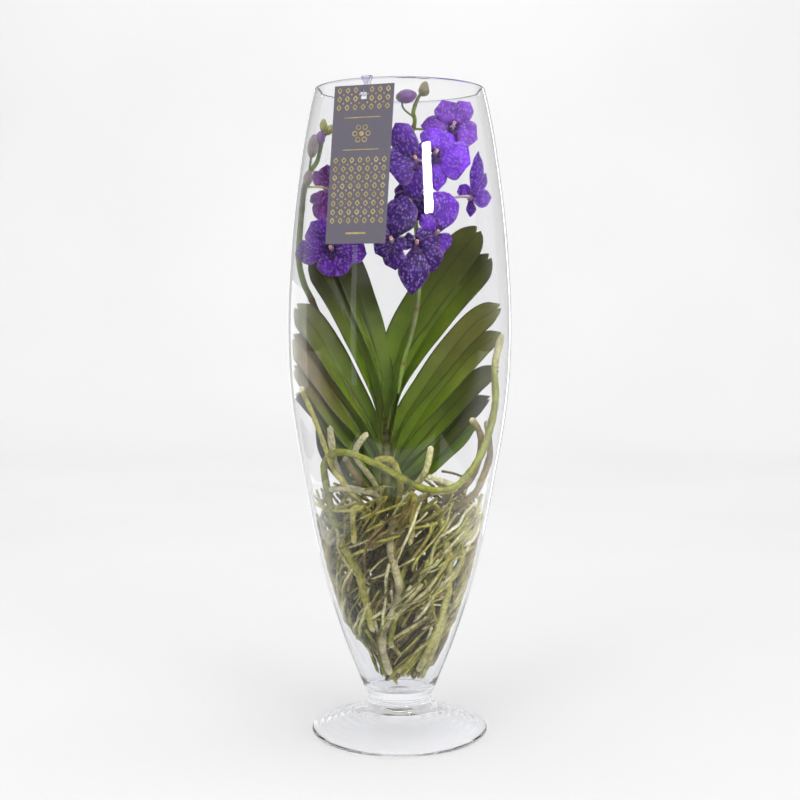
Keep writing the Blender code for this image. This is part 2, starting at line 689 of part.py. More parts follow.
# Buds, as the pixels and depths of their tail and tip, their radius, and two points down the stalk
BUDS = {
    "right": (((421, 95, -2), (427, 87, -2), 0.0050, (420, 96, -2), (419, 98, -2)),
              ((399, 98, -8), (415, 93, -8), 0.0060, (403, 108, -6), (413.2, 117, -1))),
    "left": (((307, 158, -16), (313, 134, -16), 0.0062, (301.5, 163, -14), (306, 184, -10)),
             ((320, 146, -14), (321, 131, -14), 0.0052, (320, 150, -12), (319, 156, -10)),
             ((326, 135, -8), (333, 125, -8), 0.0044, (325, 136, -9), (324, 138, -10)),
             ((323, 132, -12), (324, 119, -12), 0.0042, (323.5, 133, -11), (324, 136, -10)),
             ((303, 186, -26), (302, 170, -28), 0.0050, (304, 189, -22), (303, 194, -10))),
}


def pedicel_path(bloom, joint, via):
    """From the spike, past a bend where one is given, to just behind the bloom's boss."""
    place, look, _ = BLOOMS[bloom]
    facing, _, _ = facing_axes(look)
    back = seen(place[0], place[1], place[2] / 1000) - facing * (BOSS_BACK + PEDICEL_END_GAP)
    start = seen(joint[0], joint[1], joint[2] / 1000)
    away = back - facing * min(PEDICEL_STRAIGHT, (back - start).length * 0.4)
    bend = seen(via[0], via[1], via[2] / 1000) if via else mix(start, away, 0.55)
    return smooth_path([start, bend, away, back], 5 if via is None else 7)


def bud_pieces(bud):
    tail_spot, tip_spot, radius, bend_spot, foot_spot = bud
    tail, tip, bend, foot = (
        kept_inside(seen(px, py, d / 1000), radius + GLASS_GAP)
        for px, py, d in (tail_spot, tip_spot, bend_spot, foot_spot)
    )
    stalk = smooth_path([foot, bend, mix(tail, tip, 0.3)], 4)
    head = bead("bud", mix(tail, tip, 0.5), tip - tail, (tip - tail).length, radius)
    return [tube("bud_stalk", stalk, [BUD_STALK_RADIUS] * len(stalk), STALK_SIDES), head]


def make_spike(side, line, radii, finish):
    path = [kept_inside(seen(px, py, d / 1000), r + GLASS_GAP) for (px, py, d), r in zip(line, radii)]
    pieces = [tube("peduncle", path, radii, PEDUNCLE_SIDES)]
    for bloom, (joint, via) in PEDICELS[side].items():
        stalk = pedicel_path(bloom, joint, via)
        pieces.append(tube("pedicel", stalk, [PEDICEL_RADIUS] * len(stalk), STALK_SIDES))
    for bud in BUDS[side]:
        pieces += bud_pieces(bud)
    given(fused("flower_spike_" + side, pieces), finish)


def make_spikes():
    make_spike("right", RIGHT_SPIKE, RIGHT_SPIKE_RADII, material("spike_right_green", STALK_GREEN))
    make_spike("left", LEFT_SPIKE, LEFT_SPIKE_RADII, material("spike_left_green", STALK_GREEN))


# Roots that the photograph shows one by one, as pixels and depths along them, and their radius

ROOT_CROWN = ((386, 524, 2), (385, 550, 3), (387, 585, 3), (391, 620, 0))
SHOWN_ROOTS = (
    (((385, 536, 2), (350, 528, -40), (318, 512, -70), (313, 466, -72), (340, 452, -84),
      (371, 462, -92), (398, 475, -96), (421, 487, -95), (441, 491, -90), (458, 487, -82),
      (470, 474, -72), (480, 455, -58), (489, 430, -48), (495, 399, -40), (494, 366, -36),
      (501, 334, -30)), 0.0036),
    (((384, 545, 2), (372, 516, -58), (344, 484, -80), (331, 471, -80), (320, 450, -78),
      (310, 422, -68), (303, 405, -60), (295, 386, -48)), 0.0026),
    (((385, 536, 2), (378, 498, -50), (366, 492, -78), (346, 488, -86), (321, 490, -70)),
     0.0034),
    (((385, 536, 2), (378, 500, -30), (358, 478, -62), (344, 457, -72)),
     0.0034),
    (((385, 536, 2), (360, 505, -20), (338, 470, -46), (330, 425, -52)),
     0.0036),
    (((385, 536, 2), (378, 490, -28), (355, 455, -40), (367, 432, -56)),
     0.0034),
    (((385, 536, 2), (400, 492, -40), (392, 461, -66), (375, 461, -74)),
     0.0036),
    (((385, 536, 2), (408, 495, -40), (424, 472, -70), (431, 446, -74)),
     0.0036),
    (((385, 536, 2), (420, 498, -40), (455, 487, -60), (428, 477, -84)),
     0.0034),
    (((385, 536, 2), (430, 510, -20), (470, 480, -30), (481, 440, -38), (470, 418, -44)),
     0.0035),
    (((385, 536, 2), (420, 520, -30), (470, 497, -50), (489, 460, -34), (486, 420, -16)),
     0.0036),
    (((385, 536, 2), (410, 505, -60), (414, 498, -84), (409, 545, -82)),
     0.0034),
    (((385, 536, 2), (366, 508, -66), (352, 512, -82), (350, 545, -78)),
     0.0034),
    (((385, 536, 2), (345, 540, -50), (356, 575, -70), (375, 632, -50)),
     0.0044),
)
ROOT_SIDES = 4
ROOT_CROWN_RADII = (0.0085, 0.0090, 0.0075, 0.0050)
ROOT_CROWN_SIDES = 6

# The rest of the roots, which fill the lower bowl: where they start, rise to and end, and how they fall
MASS_ROOTS = 16
MASS_STATIONS = 8
MASS_SEED = 7
MASS_TURN = math.radians(137.5)
MASS_RADII = (0.0028, 0.0040)
MASS_START_HEIGHTS = (0.220, 0.140)
MASS_CREST_RISES = (0.010, 0.085)
MASS_END_HEIGHTS = (0.062, 0.135)
MASS_COURSE = ((0.5, -0.02), (0.95, 0.14), (1.0, 0.42), (1.0, 0.75), (0.92, 1.0))
MASS_WOBBLE = 0.18


def make_root(name, points, radius, stations):
    path = [kept_inside(p, radius + GLASS_GAP) for p in smooth_path(points, stations)]
    radii = [radius] * (stations - 2) + [radius * 0.92, radius * 0.6]
    return tube(name, path, radii, ROOT_SIDES)


def mass_root_points(rng, k):
    """One root of the mass: out to the glass or part way, then down and round inside it."""
    share = k / (MASS_ROOTS - 1)
    turn = MASS_TURN * k
    drift = -rng.uniform(0.3, 1.7)
    outward = rng.uniform(0.88, 1.0) if k % 3 else rng.uniform(0.35, 0.65)
    start_height = mix(*MASS_START_HEIGHTS, share)
    crest = start_height + rng.uniform(*MASS_CREST_RISES) * (1 - 0.5 * share)
    end_height = rng.uniform(*MASS_END_HEIGHTS)
    points = [Vector((-0.014 + 0.012 * share, 0.002, start_height))]
    for i, (out, fall) in enumerate(MASS_COURSE):
        height = mix(crest, end_height, fall)
        reach = inner_radius(height) * outward * out
        angle = turn + drift * (i + 1) / len(MASS_COURSE) + rng.uniform(-MASS_WOBBLE, MASS_WOBBLE)
        points.append(Vector((reach * math.cos(angle), reach * math.sin(angle), height)))
    return points


def make_roots():
    crown = [seen(px, py, d / 1000) for px, py, d in ROOT_CROWN]
    pieces = [tube("crown", crown, ROOT_CROWN_RADII, ROOT_CROWN_SIDES)]
    for k, (line, radius) in enumerate(SHOWN_ROOTS):
        points = [seen(px, py, d / 1000) for px, py, d in line]
        pieces.append(make_root(f"shown_{k}", points, radius, len(points) + 4))
    rng = random.Random(MASS_SEED)
    for k in range(MASS_ROOTS):
        radius = rng.uniform(*MASS_RADII)
        pieces.append(make_root(f"mass_{k}", mass_root_points(rng, k), radius, MASS_STATIONS))
    given(fused("aerial_roots", pieces), material("root_olive", ROOT_OLIVE, rough=0.8))


def gather():
    """Hangs every piece on one empty, so that the whole can be moved by it."""
    holder = bpy.data.objects.new("orchid_in_vase", None)
    pieces = list(bpy.context.scene.collection.objects)
    bpy.context.scene.collection.objects.link(holder)
    for piece in pieces:
        piece.parent = holder


def main():
    clear_scene()
    make_vase()
    make_tag()
    make_hook()
    make_leafy_stem()
    make_blooms()
    make_spikes()
    make_roots()
    gather()


main()
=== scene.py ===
"""Looks for the vanda orchid in its tall footed glass vase.

Metres, +Z up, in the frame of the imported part. The photographed front faces -Y.
"""

import random
from math import copysign, cos, exp, hypot, pi, radians, sin, sqrt, tau

import bpy
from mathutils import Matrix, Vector


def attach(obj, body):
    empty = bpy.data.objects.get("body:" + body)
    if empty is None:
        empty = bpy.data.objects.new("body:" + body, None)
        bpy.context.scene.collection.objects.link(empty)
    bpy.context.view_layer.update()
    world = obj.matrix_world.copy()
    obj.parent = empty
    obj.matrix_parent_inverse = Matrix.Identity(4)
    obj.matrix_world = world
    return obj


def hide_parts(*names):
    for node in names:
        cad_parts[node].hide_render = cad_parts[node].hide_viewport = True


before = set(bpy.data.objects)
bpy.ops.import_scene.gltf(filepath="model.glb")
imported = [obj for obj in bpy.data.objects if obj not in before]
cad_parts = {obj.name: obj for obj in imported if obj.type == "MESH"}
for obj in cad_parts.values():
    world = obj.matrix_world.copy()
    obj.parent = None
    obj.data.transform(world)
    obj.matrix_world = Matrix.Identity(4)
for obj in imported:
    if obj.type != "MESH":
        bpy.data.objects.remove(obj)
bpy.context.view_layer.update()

# Camera. Places on the plant are spots in its view: two pixels and a depth (y) in millimetres

EYE_X = 0.0004
EYE_DISTANCE = 1.464
EYE_HEIGHT = 0.48
EYE_PITCH = radians(4.45)
FOCAL_PIXELS = 1344
FRAME_PIXELS = 800
SENSOR_WIDTH = 36
AXIS_PIXEL_X = 399.6
MIDDLE_PIXEL_Y = 400
BOUNCES = 24

# Vase. Its tables are in millimetres: (height, radius) up the bowl, and (radius, height) elsewhere

BOWL_OUTLINE = (
    (36, 32.8), (48, 39.2), (64, 45.4), (86, 54.2), (113, 64), (137, 71.8), (165, 80.2), (212, 91.4),
    (240, 97), (279, 103.8), (315, 110.2), (345, 114.9), (375, 118.4), (406, 120.5), (440, 121.3),
    (470, 120.8), (500, 119.2), (543, 116), (590, 110.8), (629, 105.2), (654, 101.2), (680, 96),
    (698, 91.6),
)
FLOOR_CORNER = ((34.8, 3.4), (32.5, 1.4), (28.5, 0.2), (15, 0), (0, 0))
FOOT_UNDERSIDE = ((0, 20), (15, 19.4), (30, 17.5), (45, 13.9), (60, 9.5), (75, 4.8), (86, 0.8), (88, 0))
FOOT_TOP = (
    (95, 0), (96.4, 0.7), (96.9, 2.2), (96.6, 3.6), (95.5, 4.7), (80, 9.3), (62, 15.8), (50, 21.6),
    (44, 25.2), (41.2, 26.8), (40.8, 29), (40, 30.8), (38.2, 32.2), (35, 33.2),
)
RIM_ROUND = ((-0.2, -1), (-0.8, -0.3), (-1.5, 0), (-2.3, -0.4), (-2.8, -1.2))
BOWL_BASE = 0.0365
RIM_HEIGHT = 0.7
RIM_OUTER = 0.698
RIM_INNER_DROP = 0.0026
BOWL_FLOOR = 0.049
FLOOR_CORNER_HEIGHT = 0.007
WALL_AT_RIM = 0.003
WALL_AT_FLOOR = 0.005
WALL_TAPER_HEIGHT = 0.1
FOOT_RIPPLE = 0.00032
FOOT_RIPPLE_SPACING = 0.0075
FOOT_RIPPLES = (0.044, 0.094)
FOOT_RIPPLE_FADE = 0.004
FOOT_STEP = 0.00119
VASE_SIDES = 128
BOWL_ROWS = 72
GLASS_IOR = 1.46
GLASS_WAVES = ((11, 1, None, (1, 1, 0.2)), 0.0005, 0.22)

# The glass by slot, as name, tint, roughness and refraction, and the heights where the slots change

GLASSES = (
    ("glass_clear", (0.995, 0.995, 1), 0, GLASS_IOR), ("glass_edge", (0.85, 0.83, 0.93), 0.03, GLASS_IOR),
    ("glass_foot", (0.985, 0.987, 1), 0, 1.12), ("glass_thick", (0.975, 0.979, 1), 0, GLASS_IOR),
)
FOOT_CLEAR_TO = 0.0345
THICK_GLASS_TO = 0.125
EDGE_FROM = 0.6976

# Room kept between the plant and the glass

GLASS_GAP = 0.0005
PLANT_SIDES = 36
PLANT_ROWS = 11

WHITE = (1, 1, 1)


def srgb(red, green, blue):
    """A colour from 0 to 255 a channel, as the linear values that shaders take."""
    return tuple((((c / 255) + 0.055) / 1.055) ** 2.4 for c in (red, green, blue))


def seen(px, py, depth):
    """The point that the photograph shows at this pixel and depth."""
    y = depth / 1000
    right = (px - AXIS_PIXEL_X) / FOCAL_PIXELS
    up = (MIDDLE_PIXEL_Y - py) / FOCAL_PIXELS
    reach = (EYE_DISTANCE + y) / (cos(EYE_PITCH) + up * sin(EYE_PITCH))
    rise = up * cos(EYE_PITCH) - sin(EYE_PITCH)
    return Vector((right * reach, y, EYE_HEIGHT + reach * rise))


def seen_line(spots):
    return [seen(*spot) for spot in spots]


def upright(height):
    return Vector((0, 0, height))


def polar(reach, angle, height):
    return Vector((reach * cos(angle), reach * sin(angle), height))


def around(count):
    """Angles at even steps round a full turn."""
    return [tau * k / count for k in range(count)]


def shares(count):
    """Even steps from 0 to 1."""
    return [k / (count - 1) for k in range(count)]


def both_ways(half):
    """Even steps from -1 to 1."""
    return [k / half for k in range(-half, half + 1)]


def neighbours(items):
    """Each item between the one before and the one after it, or itself at an end."""
    return zip(items[:1] + items[:-1], items, items[1:] + items[-1:])


def metres(rows):
    """Rows of millimetres in metres."""
    return [tuple(value / 1000 for value in row) for row in rows]


def mix(a, b, share):
    return a + (b - a) * share


def mixed(first, second, share):
    """A colour between two."""
    return tuple(mix(a, b, share) for a, b in zip(first, second))


def clamped(value):
    return min(max(value, 0), 1)


def eased(value):
    """0 to 1 with a soft start and end."""
    t = clamped(value)
    return t * t * (3 - 2 * t)


def smooth_value(points, at):
    """A smooth curve through (position, value) pairs, read at one position."""
    last = len(points) - 1
    at = min(max(at, points[0][0]), points[last][0])
    i = next(k for k in range(last) if at <= points[k + 1][0])
    (x0, y0), (x1, y1) = points[i], points[i + 1]
    before, after = points[max(i - 1, 0)], points[min(i + 2, last)]
    slope0 = (y1 - before[1]) / (x1 - before[0])
    slope1 = (after[1] - y0) / (after[0] - x0)
    span = x1 - x0
    t = (at - x0) / span
    return (
        (2 * t**3 - 3 * t**2 + 1) * y0 + (t**3 - 2 * t**2 + t) * span * slope0
        + (3 * t**2 - 2 * t**3) * y1 + (t**3 - t**2) * span * slope1
    )


def smooth_values(values, count):
    """This many values at even steps of a smooth curve through evenly spaced ones."""
    points = list(zip(shares(len(values)), values))
    return [smooth_value(points, t) for t in shares(count)]


def smooth_path(points, count):
    """Evenly numbered points on a smooth curve through these points."""
    path = []
    last = len(points) - 1
    for k in range(count):
        place = k * last / (count - 1)
        i = min(int(place), last - 1)
        t = place - i
        p0, p1 = points[max(i - 1, 0)], points[i]
        p2, p3 = points[i + 1], points[min(i + 2, last)]
        path.append(
            0.5 * (2 * p1 + (p2 - p0) * t + (2 * p0 - 5 * p1 + 4 * p2 - p3) * t**2
                   + (3 * p1 - p0 - 3 * p2 + p3) * t**3)
        )
    return path


def outer_radius(height):
    return smooth_value(BOWL_OUTLINE, height * 1000) / 1000


def wall_thickness(height):
    return mix(WALL_AT_FLOOR, WALL_AT_RIM, clamped((height - BOWL_FLOOR) / WALL_TAPER_HEIGHT))


def bowl_inside(rows):
    """(radius, height) pairs down the inside of the bowl, from the rim to the floor's middle."""
    top, bottom = RIM_HEIGHT - RIM_INNER_DROP, BOWL_FLOOR + FLOOR_CORNER_HEIGHT
    heights = [mix(top, bottom, t) for t in shares(rows)]
    wall = [(outer_radius(height) - wall_thickness(height), height) for height in heights]
    return wall + [(radius, BOWL_FLOOR + rise) for radius, rise in metres(FLOOR_CORNER)]


PLANT_ROOM = bowl_inside(PLANT_ROWS)[-2::-1]


def inner_radius(height):
    """How far from the axis the plant may reach at this height."""
    rows = PLANT_ROOM
    above = next((k for k in range(1, len(rows)) if rows[k][1] >= height), len(rows) - 1)
    (low_radius, low), (high_radius, high) = rows[above - 1], rows[above]
    radius = mix(low_radius, high_radius, (height - low) / (high - low))
    return radius * cos(pi / PLANT_SIDES)


def kept_inside(point, clearance):
    """The point moved, where it has to be, so that it stays this far from the glass."""
    height = max(point.z, BOWL_FLOOR + clearance)
    reach = hypot(point.x, point.y)
    scale = min(1, (inner_radius(height) - clearance) / reach) if reach else 1
    return Vector((point.x * scale, point.y * scale, height))


# Meshes

TUBE_END_RISE = 0.4
BLADE_EDGE = 0.35
BLADE_NEAR_EDGE = 0.8


def linked(name, data):
    """A new object in the scene."""
    obj = bpy.data.objects.new(name, data)
    bpy.context.scene.collection.objects.link(obj)
    return obj


class Shape:
    """Points and faces gathered for one mesh, with surface coordinates and a colour at each point."""

    def __init__(self):
        self.points, self.coords, self.colours = [], [], []
        self.faces, self.slots = [], []

    def add(self, points, faces, coords=None, colours=None, slots=None):
        first = len(self.points)
        self.points += points
        self.faces += [tuple(first + k for k in face) for face in faces]
        self.coords += coords or [(0, 0)] * len(points)
        self.colours += colours or [WHITE] * len(points)
        self.slots += slots or [0] * len(faces)

    def made(self, name, *finishes):
        mesh = bpy.data.meshes.new(name)
        mesh.from_pydata([tuple(p) for p in self.points], [], self.faces)
        layer = mesh.uv_layers.new(name="surface")
        corners = [k for face in self.faces for k in face]
        layer.data.foreach_set("uv", [value for k in corners for value in self.coords[k]])
        paint = mesh.color_attributes.new("paint", "FLOAT_COLOR", "POINT")
        paint.data.foreach_set("color", [value for c in self.colours for value in (*c, 1)])
        mesh.polygons.foreach_set("material_index", self.slots)
        for finish in finishes:
            mesh.materials.append(finish)
        mesh.shade_smooth()
        mesh.update()
        return linked(name, mesh)


def add_rings(shape, rings, start, end, coords, colours, bands=()):
    """A closed solid through rings of points, with a point at either end and a slot for each band."""
    sides = len(rings[0])
    last = 1 + sides * len(rings)
    faces = [(0, 1 + (k + 1) % sides, 1 + k) for k in range(sides)]
    for a in range(1, last - sides, sides):
        b = a + sides
        faces += [(a + k, a + (k + 1) % sides, b + (k + 1) % sides, b + k) for k in range(sides)]
    a = last - sides
    faces += [(a + k, a + (k + 1) % sides, last) for k in range(sides)]
    points = [start] + [p for ring in rings for p in ring] + [end]
    uv = [coords[0][0]] + [c for ring in coords for c in ring] + [coords[-1][0]]
    paint = [colours[0]] + [c for c in colours for _ in range(sides)] + [colours[-1]]
    slots = [slot for slot in (0, *bands, 0) for _ in range(sides)] if bands else None
    shape.add(points, faces, uv, paint, slots)


def add_tube(shape, path, radii, sides, colours, offset=0, flat=1):
    """A round bar along a path. Its surface coordinates are turns round it and metres along it."""
    rings, coords = [], []
    side = upright(1).cross(path[1] - path[0])
    if side.length < 1e-6:
        side = Vector((1, 0, 0))
    run = 0
    for radius, (before, centre, after) in zip(radii, neighbours(path)):
        ahead = (after - before).normalized()
        side = (side - ahead * side.dot(ahead)).normalized()
        across = ahead.cross(side)
        ring = [cos(a) * side + flat * sin(a) * across for a in around(sides)]
        rings.append([centre + radius * spoke for spoke in ring])
        run += (centre - before).length
        coords.append([(offset + k / sides, run + offset) for k in range(sides)])
    start = path[0] + (path[0] - path[1]).normalized() * radii[0] * TUBE_END_RISE
    end = path[-1] + (path[-1] - path[-2]).normalized() * radii[-1] * TUBE_END_RISE
    add_rings(shape, rings, start, end, coords, colours)


def grid_normals(rows):
    """The normal of a grid of points at each of them."""
    normals = []
    for below, row, above in neighbours(rows):
        along = [right - left for left, _, right in neighbours(row)]
        normals.append([(a - b).cross(side).normalized() for a, b, side in zip(above, below, along)])
    return normals


def add_blade(shape, rows, thickness, coords, colours, edge=BLADE_EDGE):
    """A closed thin sheet over a grid of points, thinner towards its border."""
    columns, last_row = len(rows[0]), len(rows) - 1
    upper, lower = [], []
    for r, (row, row_n) in enumerate(zip(rows, grid_normals(rows))):
        for c, (p, n) in enumerate(zip(row, row_n)):
            rim = min(c, columns - 1 - c, r, last_row - r)
            half = thickness / 2 * (edge if rim == 0 else BLADE_NEAR_EDGE if rim == 1 else 1)
            upper.append(p + n * half)
            lower.append(p - n * half)
    shift = len(upper)
    faces = []
    for r in range(last_row):
        for a in range(r * columns, (r + 1) * columns - 1):
            quad = (a, a + 1, a + columns + 1, a + columns)
            faces += [tuple(reversed(quad)), tuple(shift + k for k in quad)]
    border = [*range(columns), *range(2 * columns - 1, shift, columns)]
    border += [*range(shift - 2, shift - columns - 1, -1), *range(shift - 2 * columns, 0, -columns)]
    for a, b in zip(border, border[1:] + border[:1]):
        faces.append((a, b, b + shift, a + shift))
    uv = [c for row in coords for c in row]
    paint = [c for row in colours for c in row]
    shape.add(upper + lower, faces, uv + uv, paint + paint)


# Materials

class Nodes:
    """A node tree, with short ways to add to it. A source is a value or another node's socket."""

    def __init__(self, tree):
        self.tree = tree

    def feed(self, socket, source):
        if isinstance(source, bpy.types.NodeSocket):
            self.tree.links.new(source, socket)
        else:
            socket.default_value = (*source, 1) if socket.type == "RGBA" else source

    def node(self, kind, *sources, **named):
        """A new node, its sockets fed in their order, and its settings and other sockets by name."""
        made = self.tree.nodes.new("ShaderNode" + kind)
        for name, value in named.items():
            if hasattr(made, name):
                setattr(made, name, value)
            else:
                self.feed(made.inputs[name.replace("_", " ")], value)
        for socket, source in zip(made.inputs, sources):
            self.feed(socket, source)
        return made

    def math(self, operation, *sources):
        return self.node("Math", *sources, operation=operation).outputs["Value"]

    def glossy_depth(self):
        """How many times the light was mirrored on its way to the eye."""
        return self.node("LightPath").outputs["Glossy Depth"]


class Finish(Nodes):
    """A material, with ways to colour it by the mesh's paint, by noise and by steps."""

    def __init__(self, name, rough, specular=0.5):
        self.material = bpy.data.materials.new(name)
        self.material.use_nodes = True
        super().__init__(self.material.node_tree)
        self.shader = self.tree.nodes["Principled BSDF"]
        self.set(Roughness=rough, Specular_IOR_Level=specular)

    def set(self, **sources):
        for name, source in sources.items():
            self.feed(self.shader.inputs[name.replace("_", " ")], source)

    def noise(self, scale, detail, place=None, stretch=None):
        """Noise over the object's own space, or over the place given."""
        place = place or self.node("TexCoord").outputs["Object"]
        if stretch:
            place = self.node("Mapping", place, Scale=stretch).outputs["Vector"]
        return self.node("TexNoise", place, Scale=scale, Detail=detail).outputs["Fac"]

    def surface(self):
        return self.node("UVMap", uv_map="surface").outputs["UV"]

    def paint(self):
        return self.node("Attribute", attribute_name="paint").outputs["Color"]

    def steps(self, value, *stops):
        """Grey levels or colours by value, from (position, colour) stops."""
        ramp = self.node("ValToRGB", value)
        elements = ramp.color_ramp.elements
        while len(elements) < len(stops):
            elements.new(0.5)
        for element, (position, colour) in zip(elements, stops):
            element.position = position
            element.color = (*(colour if isinstance(colour, tuple) else [colour] * 3), 1)
        return ramp.outputs["Color"]

    def blend(self, kind, share, first, second):
        """Two colours mixed."""
        made = self.node("Mix", share, data_type="RGBA", blend_type=kind)
        self.feed(made.inputs[6], first)
        self.feed(made.inputs[7], second)
        return made.outputs[2]

    def mottled(self, colour, value, *stops, share=1):
        """A colour multiplied by the steps of a value."""
        return self.blend("MULTIPLY", share, colour, self.steps(value, *stops))

    def bump(self, height, depth, strength):
        made = self.node("Bump", Strength=strength, Distance=depth, Height=height)
        self.set(Normal=made.outputs["Normal"])

    def clear(self, colour, ior):
        """Makes the material a clear solid that lets light through to what it holds."""
        self.set(Base_Color=colour, Transmission_Weight=1, IOR=ior)
        shadow = self.node("LightPath").outputs["Is Shadow Ray"]
        through = self.node("BsdfTransparent", (0.99, 0.99, 1)).outputs["BSDF"]
        both = self.node("MixShader", shadow, self.shader.outputs["BSDF"], through)
        self.feed(self.tree.nodes["Material Output"].inputs["Surface"], both.outputs["Shader"])


def clear_finish(name, colour, rough, ior, noise, depth, strength):
    """A clear solid with slight waves in its surface."""
    clear = Finish(name, rough)
    clear.clear(colour, ior)
    clear.bump(clear.noise(*noise), depth, strength)
    return clear.material


def leaf_finish():
    leaf = Finish("leaf_living", 0.36, 0.28)
    wave = leaf.node("TexWave", leaf.surface(), Scale=7.5, Distortion=0.4, Detail=0, bands_direction="X")
    lines = wave.outputs["Fac"]
    lined = leaf.mottled(leaf.paint(), lines, (0, 0.45), (0.55, 1), share=0.2)
    patches = leaf.noise(26, 4)
    toned = leaf.mottled(lined, patches, (0.3, (0.7, 0.72, 0.62)), (0.7, (1.16, 1.12, 1)))
    streaks = leaf.noise(3.2, 3, leaf.surface(), (10, 1, 1))
    leaf.set(Base_Color=leaf.mottled(toned, streaks, (0.35, 0.78), (0.65, 1.1), share=0.8))
    leaf.bump(lines, 0.0002, 0.35)
    return leaf.material


def petal_finish():
    petal = Finish("petal_spotted", 0.55, 0.15)
    stretched = petal.node("Mapping", petal.surface(), Scale=(1, 0.62, 1)).outputs["Vector"]
    cells = petal.node("TexVoronoi", stretched, Scale=400, Randomness=0.75).outputs["Distance"]
    spots = petal.steps(cells, (0.12, 1), (0.58, 0))
    share = petal.mottled(spots, petal.noise(45, 2), (0.34, 0.62), (0.54, 1))
    pale = petal.blend("MIX", 0.4, petal.paint(), srgb(184, 150, 240))
    net = petal.mottled(petal.paint(), petal.noise(60, 3), (0.34, 0.55), (0.66, 1.3))
    petal.set(Base_Color=petal.blend("MIX", share, net, pale))
    petal.set(Subsurface_Weight=0.12, Subsurface_Radius=(0.002, 0.001, 0.003))
    petal.bump(spots, 0.0003, 0.6)
    return petal.material


def layered_finish(name, rough, specular, base, layers, bump, **others):
    """A base colour, or the mesh's paint, under layers of noise: scale, detail, share and stops."""
    finish = Finish(name, rough, specular)
    colour = base or finish.paint()
    for scale, detail, share, *stops in layers:
        colour = finish.mottled(colour, finish.noise(scale, detail), *stops, share=share)
    finish.set(Base_Color=colour, **others)
    if bump:
        scale, detail, depth, strength = bump
        finish.bump(finish.noise(scale, detail), depth, strength)
    return finish.material


def stalk_finish(name, rough=0.45):
    patches = (90, 4, 1, (0.3, 0.72), (0.7, 1.18))
    return layered_finish(name, rough, 0.5, None, (patches,), (400, 2, 0.0003, 0.4))


def root_finish():
    patches = (60, 5, 1, (0.32, (0.52, 0.52, 0.42)), (0.5, (0.95, 0.95, 0.9)), (0.68, (1.3, 1.3, 1.34)))
    specks = (330, 3, 0.8, (0.34, 0.6), (0.58, 1.08))
    return layered_finish("root_skin", 0.72, 0.15, None, (patches, specks), (260, 4, 0.0006, 0.6))


def card_finish():
    grain = (900, 3, 1, (0.3, 0.88), (0.7, 1.1))
    return layered_finish("card_stock", 0.52, 0.5, srgb(100, 96, 108), (grain,), (1500, 2, 0.0001, 0.35))


def foil_finish():
    tones = (120, 2, 1, (0.3, srgb(190, 165, 100)), (0.7, srgb(232, 214, 150)))
    return layered_finish("foil_print", 0.38, 0.5, WHITE, (tones,), None, Metallic=0.55)


def stage_finish():
    """Pale paper, which the glass mirrors darker the further it lies before the vase."""
    paper = Finish("stage_paper", 0.9, 0)
    tone = paper.steps(paper.noise(1.2, 2), (0.3, srgb(231, 231, 232)), (0.7, srgb(235, 235, 235)))
    place = paper.node("SeparateXYZ", paper.node("TexCoord").outputs["Object"])
    nearness = paper.node("MapRange", place.outputs["Y"], MIRRORED_DARK_TO, MIRRORED_PALE_FROM)
    levels = (0, srgb(70, 70, 72)), (1, srgb(240, 240, 240))
    mirrored = paper.steps(nearness.outputs["Result"], *levels)
    inside = paper.math("GREATER_THAN", paper.glossy_depth(), 0.5)
    paper.set(Base_Color=paper.blend("MIX", inside, tone, mirrored))
    return paper.material


def placed(obj, slot, *nodes):
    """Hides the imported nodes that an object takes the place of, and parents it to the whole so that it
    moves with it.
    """
    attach(obj, "root")
    if nodes:
        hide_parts(*nodes)


# Vase

def rippled_foot():
    """The foot's upper side, with the faint rings of its making."""
    corners = metres(FOOT_TOP)
    profile = []
    for (radius, height), (next_radius, next_height) in zip(corners, corners[1:]):
        steps = max(1, round(abs(next_radius - radius) / FOOT_STEP))
        for step in range(steps):
            r, z = mix(radius, next_radius, step / steps), mix(height, next_height, step / steps)
            low, high = FOOT_RIPPLES
            fade = eased((high - r) / FOOT_RIPPLE_FADE) * eased((r - low) / FOOT_RIPPLE_FADE)
            profile.append((r, z + FOOT_RIPPLE * fade * sin(2 * pi * r / FOOT_RIPPLE_SPACING)))
    return profile + corners[-1:]


def vase_profile():
    """(radius, height) pairs from under the foot, up the outside, over the rim and down the inside."""
    heights = [mix(BOWL_BASE, RIM_OUTER, t) for t in shares(BOWL_ROWS + 1)]
    outside = [(outer_radius(height), height) for height in heights]
    rim = [(outside[-1][0] + out, RIM_HEIGHT + rise) for out, rise in metres(RIM_ROUND)]
    return [*metres(FOOT_UNDERSIDE), *rippled_foot(), *outside, *rim, *bowl_inside(BOWL_ROWS)]


def glass_slot(height):
    if height > EDGE_FROM:
        return 1
    return 2 if height < FOOT_CLEAR_TO else 3 if height < THICK_GLASS_TO else 0


def make_vase():
    (_, bottom), *profile, (_, floor) = vase_profile()
    rings = [[polar(radius, a, height) for a in around(VASE_SIDES)] for radius, height in profile]
    coords = [[(a * radius, height) for a in around(VASE_SIDES)] for radius, height in profile]
    bands = [glass_slot(height) for _, height in profile[:-1]]
    shape = Shape()
    add_rings(shape, rings, upright(bottom), upright(floor), coords, [WHITE] * len(rings), bands)
    vase = shape.made("vase_glass", *[clear_finish(*glass, *GLASS_WAVES) for glass in GLASSES])
    placed(vase, "clear_glass", "glass_vase")


# Hang tag and hook. A printed form is its half width, its half height, a power that is 1 for a round one,
# and the number of its points where that isn't 16

